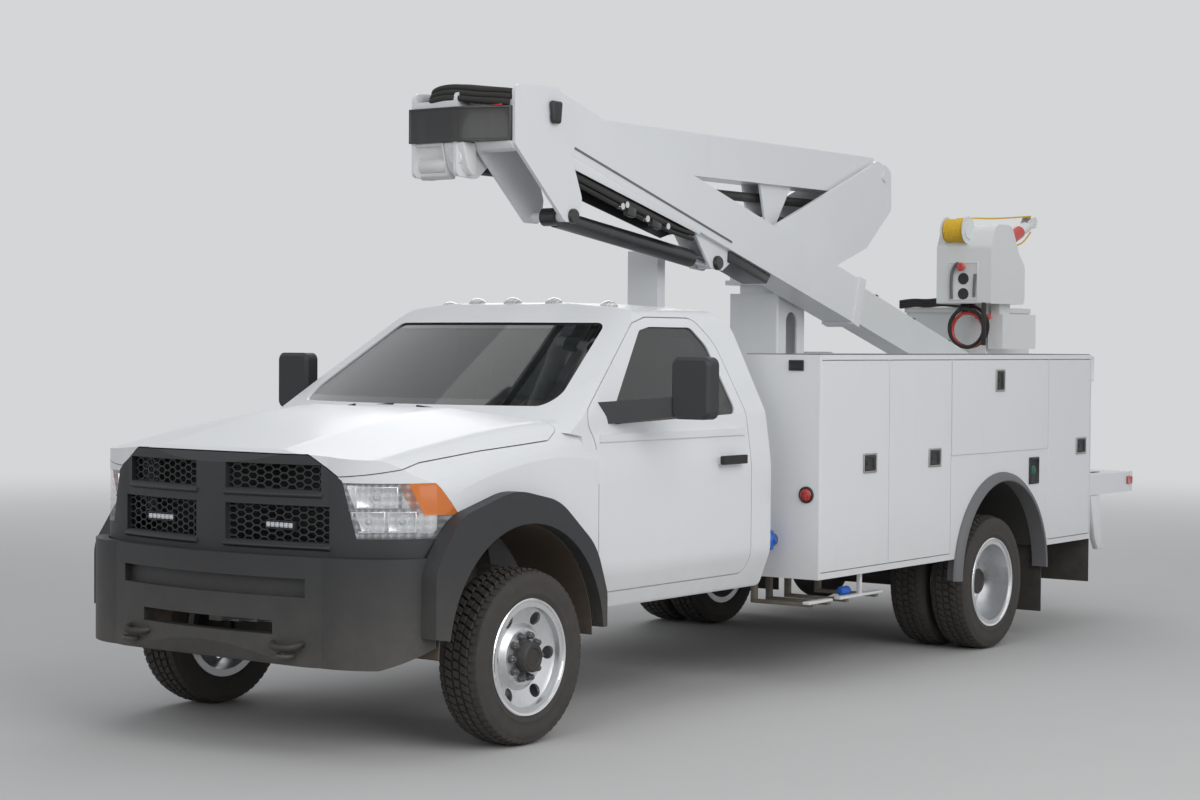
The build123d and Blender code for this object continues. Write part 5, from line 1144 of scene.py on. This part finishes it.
class LIFT_OT_tip(bpy.types.Operator):
    """Winch rope, jib sleeve and hook, control recess and hoses at the boom's tip"""

    bl_idname = "lift.tip"
    bl_label = "Boom tip details"

    def execute(self, context):
        self.rope()
        self.hook()
        self.controls()
        self.hoses()
        return {"FINISHED"}

    def rope(self):
        """Turns of rope on the drum between two flanges, and the run from the drum to the sheave."""
        turns = []
        centre = (-5605, 2560)
        for layer, radius, y_from in ((0, 63, 176), (1, 72, 181)):
            for number in range(14 - layer):
                alone()
                bpy.ops.mesh.primitive_torus_add(major_radius=radius / 1000, minor_radius=0.0052,
                                                 major_segments=40, minor_segments=8,
                                                 location=at(centre[0], y_from + number * 10.2, centre[1]),
                                                 rotation=(math.pi / 2, 0, 0))
                turns.append(settled("turn"))
        coil = joined("rope_turns", turns)
        alone(coil)
        bpy.ops.object.shade_smooth()
        done(coil, "rope", "platform")
        flanges = [turned_ring("flange", (centre[0], y, centre[1]), [(30, 0), (92, 0), (92, 5), (30, 5)])
                   for y in (164, 321)]
        done(joined("drum_flanges", flanges), "shell", "platform")
        route = [(-5600, 245, 2636), (-5800, 262, 2652), (-6104, 282, 2660), (-6590, 300, 2700)]
        hose("rope_run", route, "platform", "rope", 11)

    def hook(self):
        """Jib sleeve and head, the rope that comes back below them, a red strap and its bright snap hook."""
        start, run = Vector((-5960, 0, 2410)), Vector((-600, 0, 230)).normalized()

        def up_jib(share):
            place = start + run * share
            return place.x, BOOM_Y, place.z

        hose("jib_sleeve", [up_jib(share) for share in (90, 285, 480)], "platform", "red_paint", 92)
        hose("jib_head", [up_jib(share) for share in (470, 560, 648)], "platform", "steel_frame", 74)
        knob = turned_ring("jib_wheel", (up_jib(610)[0], 300, up_jib(610)[2] + 26),
                           [(8, -22), (38, -22), (34, -12), (34, 12), (38, 22), (8, 22)])
        done(knob, "steel", "platform")
        back = [(-6590, 2590), (-6500, 2520), (-6380, 2490), (-6324, 2478)]
        hose("rope_back", [(x, BOOM_Y, z) for x, z in back], "platform", "rope", 11)
        strap = rounded(slab("hook_strap", (-6308, -6340), (290, 310), (2404, 2490)), 4)
        done(strap, "red_paint", "platform")
        eye = turned_ring("hook_eye", (-6324, 300, 2400), [(12, -7), (24, -7), (28, 0), (24, 7), (12, 7)])
        done(eye, "chrome", "platform")
        snap = [(-6324, 2390), (-6352, 2366), (-6350, 2330), (-6320, 2318), (-6296, 2336), (-6300, 2362)]
        hose("lift_hook", [(x, BOOM_Y, z) for x, z in snap], "platform", "chrome", 13)

    def controls(self):
        """A dark recess in the housing's front with two round openings given as black discs of painted shade,
        grey lever yokes and a red knob.
        """
        face = HOUSING_FRONT
        recess = slab("control_recess", (face, face + 6), (191, 407), (2098, 2352))
        dished(recess, AHEAD, 9, 4)
        done(rounded(recess, 4), "shell", "platform")
        # Two shallow black discs: painted shade that stands for the round openings.
        cups = [turned_ring("cup", (face + 1, 300, z), [(0.3, 1), (38, 1), (38, 5), (32, 6), (0.3, 2)], "X")
                for z in (2240, 2140)]
        done(joined("control_opening_shades", cups), "black", "platform")
        yoke = [(8, 216, 2110), (16, 212, 2230), (20, 236, 2330), (20, 270, 2344)]
        guard = [(8, 380, 2120), (16, 384, 2200), (10, 388, 2270)]
        for name, route, wide in (("lever_yoke", yoke, 20), ("lever_guard", guard, 18)):
            hose(name, [(face + x, y, z) for x, y, z in route], "platform", "grey", wide)
        knob = turned_ring("control_knob", (face + 4, 294, 2317),
                           [(0.3, 0), (12, 0), (12, 12), (26, 16), (28, 34), (20, 42), (0.3, 43)], "X")
        done(knob, "red_paint", "platform")
        strap = rounded(slab("tip_strap", (face - 1, face - 17), (430, 462), (1800, 2150)), 5)
        done(strap, "black", "platform")

    def hoses(self):
        """A coil of hoses before the platform's arm, hoses on the bucket's rim and the inner boom."""
        for number, (x, wide, drop) in enumerate(((-5640, 128, 0), (-5662, 116, 14), (-5684, 138, -10)), 1):
            ring = [(x, 300 + wide * math.sin(turn), 1914 - drop + wide * math.cos(turn))
                    for turn in (k * math.pi / 8 for k in range(-1, 16))]
            hose(f"platform_coil_{number}", [(x - 60, 250, 2096), *ring, (x - 60, 330, 2090)], "platform",
                 "red_paint" if number == 2 else "hose", 24)
        pad = slab("coil_clamp", (-5650, -5800), (352, 404), (1975, 2010))
        done(rounded(pad, 8, 3), "red_paint", "platform")
        for number in range(5):
            lift = 2074 + 17 * (number % 3)
            x = -6052 - 16 * (number // 3)
            route = [(x + dx, y, lift + dz) for dx, y, dz in ((0, -424, -10), (4, -330, 4), (0, -220, -4),
                                                              (3, -110, 6), (0, -30, 0), (20, 60, -6),
                                                              (150, 120, 20))]
            hose(f"rim_hose_{number + 1}", route, "platform", diameter=26)
        top = 113
        for number, y in enumerate((262, 290, 318), 1):
            route = [(3330, top + 14), (3700, top + 13), (4300, top + 13), (4700, top + 13), (4830, top + 6)]
            hose(f"inner_hose_{number}", boom_line(y, *route), "inner_boom")
        clamps = []
        for run in (3500, 4000, 4500):
            shape = [(run, top), (run + 26, top), (run + 26, top + 30), (run, top + 30)]
            clamps.append(rounded(plate("clamp", boom_side(shape), (240, 340)), 4))
        done(joined("inner_hose_clamps", clamps), "black", "inner_boom")


class LIFT_OT_stage(bpy.types.Operator):
    """Pale floor, soft light and the camera"""

    bl_idname = "lift.stage"
    bl_label = "Stage"

    def execute(self, context):
        self.floor()
        self.lights(context.scene)
        self.camera(context.scene)
        context.scene.view_settings.view_transform = "Standard"
        return {"FINISHED"}

    def floor(self):
        alone()
        bpy.ops.mesh.primitive_circle_add(vertices=96, radius=70, fill_type="NGON", location=(0, 0, 0))
        floor = settled("studio_floor")
        finish = Finish("Pale_floor", roughness=0.9, specular_ior_level=0.0)
        away = finish.math("SQRT", finish.x * finish.x + finish.y * finish.y)
        far = finish.step(away, 6.0, 20.0)
        soft = finish.noise(2.0, 4)
        near = finish.blend(soft * 0.3, (0.60, 0.59, 0.58), (0.54, 0.53, 0.52))
        seen = Wire(finish, in_sight(finish.tree))
        finish.set("Base Color", finish.blend(far, near, (0.0, 0.0, 0.0)))
        finish.set("Emission Color", finish.blend(far * seen, (0.0, 0.0, 0.0), BACKDROP))
        finish.set("Emission Strength", 1.0)
        floor.data.materials.append(finish.material)

    def lights(self, scene):
        world = bpy.data.worlds.new("Soft_sky")
        scene.world = world
        world.use_nodes = True
        tree = world.node_tree
        back = tree.nodes["Background"]
        seen = in_sight(tree)
        mix = tree.nodes.new("ShaderNodeMix")
        mix.data_type = "RGBA"
        mix.inputs[6].default_value = (0.42, 0.44, 0.465, 1.0)
        mix.inputs[7].default_value = (*BACKDROP, 1.0)
        tree.links.new(seen, mix.inputs[0])
        tree.links.new(mix.outputs[2], back.inputs["Color"])
        for name, place, size, power in (("Key", (5.0, 11.0, 6.5), 10.0, 640.0),
                                         ("Front", (11.0, 1.5, 5.0), 6.0, 130.0),
                                         ("Back", (-8.0, -7.0, 7.0), 7.0, 240.0),
                                         ("Top", (-0.5, 0.0, 9.5), 12.0, 110.0)):
            lamp = bpy.data.lights.new(name, "AREA")
            lamp.shape, lamp.size, lamp.energy = "DISK", size, power
            holder = bpy.data.objects.new(name, lamp)
            scene.collection.objects.link(holder)
            holder.location = place
            holder.rotation_euler = (Vector((0, 0, 1.2)) - Vector(place)).to_track_quat("-Z", "Y").to_euler()

    def camera(self, scene):
        """Where the photograph was taken from, with its heading, pitch, roll and lens."""
        heading, pitch, roll = (math.radians(angle) for angle in (216.3, -1.43, 0.39))
        ahead = Vector((math.cos(heading) * math.cos(pitch), math.sin(heading) * math.cos(pitch),
                        math.sin(pitch)))
        right = ahead.cross((0, 0, 1)).normalized()
        up = right.cross(ahead)
        right, up = right * math.cos(roll) + up * math.sin(roll), up * math.cos(roll) - right * math.sin(roll)
        data = bpy.data.cameras.new("Camera")
        data.sensor_width, data.lens, data.clip_end = 36.0, 68.302, 200
        camera = bpy.data.objects.new("Camera", data)
        scene.collection.objects.link(camera)
        camera.matrix_world = Matrix.Translation((st(7973.8), 7.28995, 1.79733)) @ \
            Matrix((right, up, -ahead)).transposed().to_4x4()
        scene.camera = camera


class LIFT_PT_panel(bpy.types.Panel):
    """Lists the steps of the dressing"""

    bl_label = "Lift truck"
    bl_idname = "LIFT_PT_panel"
    bl_space_type = "VIEW_3D"
    bl_region_type = "UI"
    bl_category = "Lift truck"

    def draw(self, context):
        for group in (context.scene.truck_colours, context.scene.truck_sizes):
            for name in group.bl_rna.properties.keys():
                if name not in ("rna_type", "name"):
                    self.layout.prop(group, name)
        for step in STEPS:
            self.layout.operator(step.bl_idname)


STEPS = (LIFT_OT_finish_nodes, LIFT_OT_tyres, LIFT_OT_nose, LIFT_OT_cab, LIFT_OT_body, LIFT_OT_elbow,
         LIFT_OT_tip, LIFT_OT_stage)
CLASSES = (TruckColours, TruckSizes, *STEPS, LIFT_PT_panel)


def register():
    for one in CLASSES:
        bpy.utils.register_class(one)
    bpy.types.Scene.truck_colours = bpy.props.PointerProperty(type=TruckColours)
    bpy.types.Scene.truck_sizes = bpy.props.PointerProperty(type=TruckSizes)


def unregister():
    del bpy.types.Scene.truck_colours
    del bpy.types.Scene.truck_sizes
    for one in reversed(CLASSES):
        bpy.utils.unregister_class(one)


def main():
    register()
    for step in STEPS:
        group, name = step.bl_idname.split(".")
        getattr(getattr(bpy.ops, group), name)()


if __name__ == "__main__":
    main()
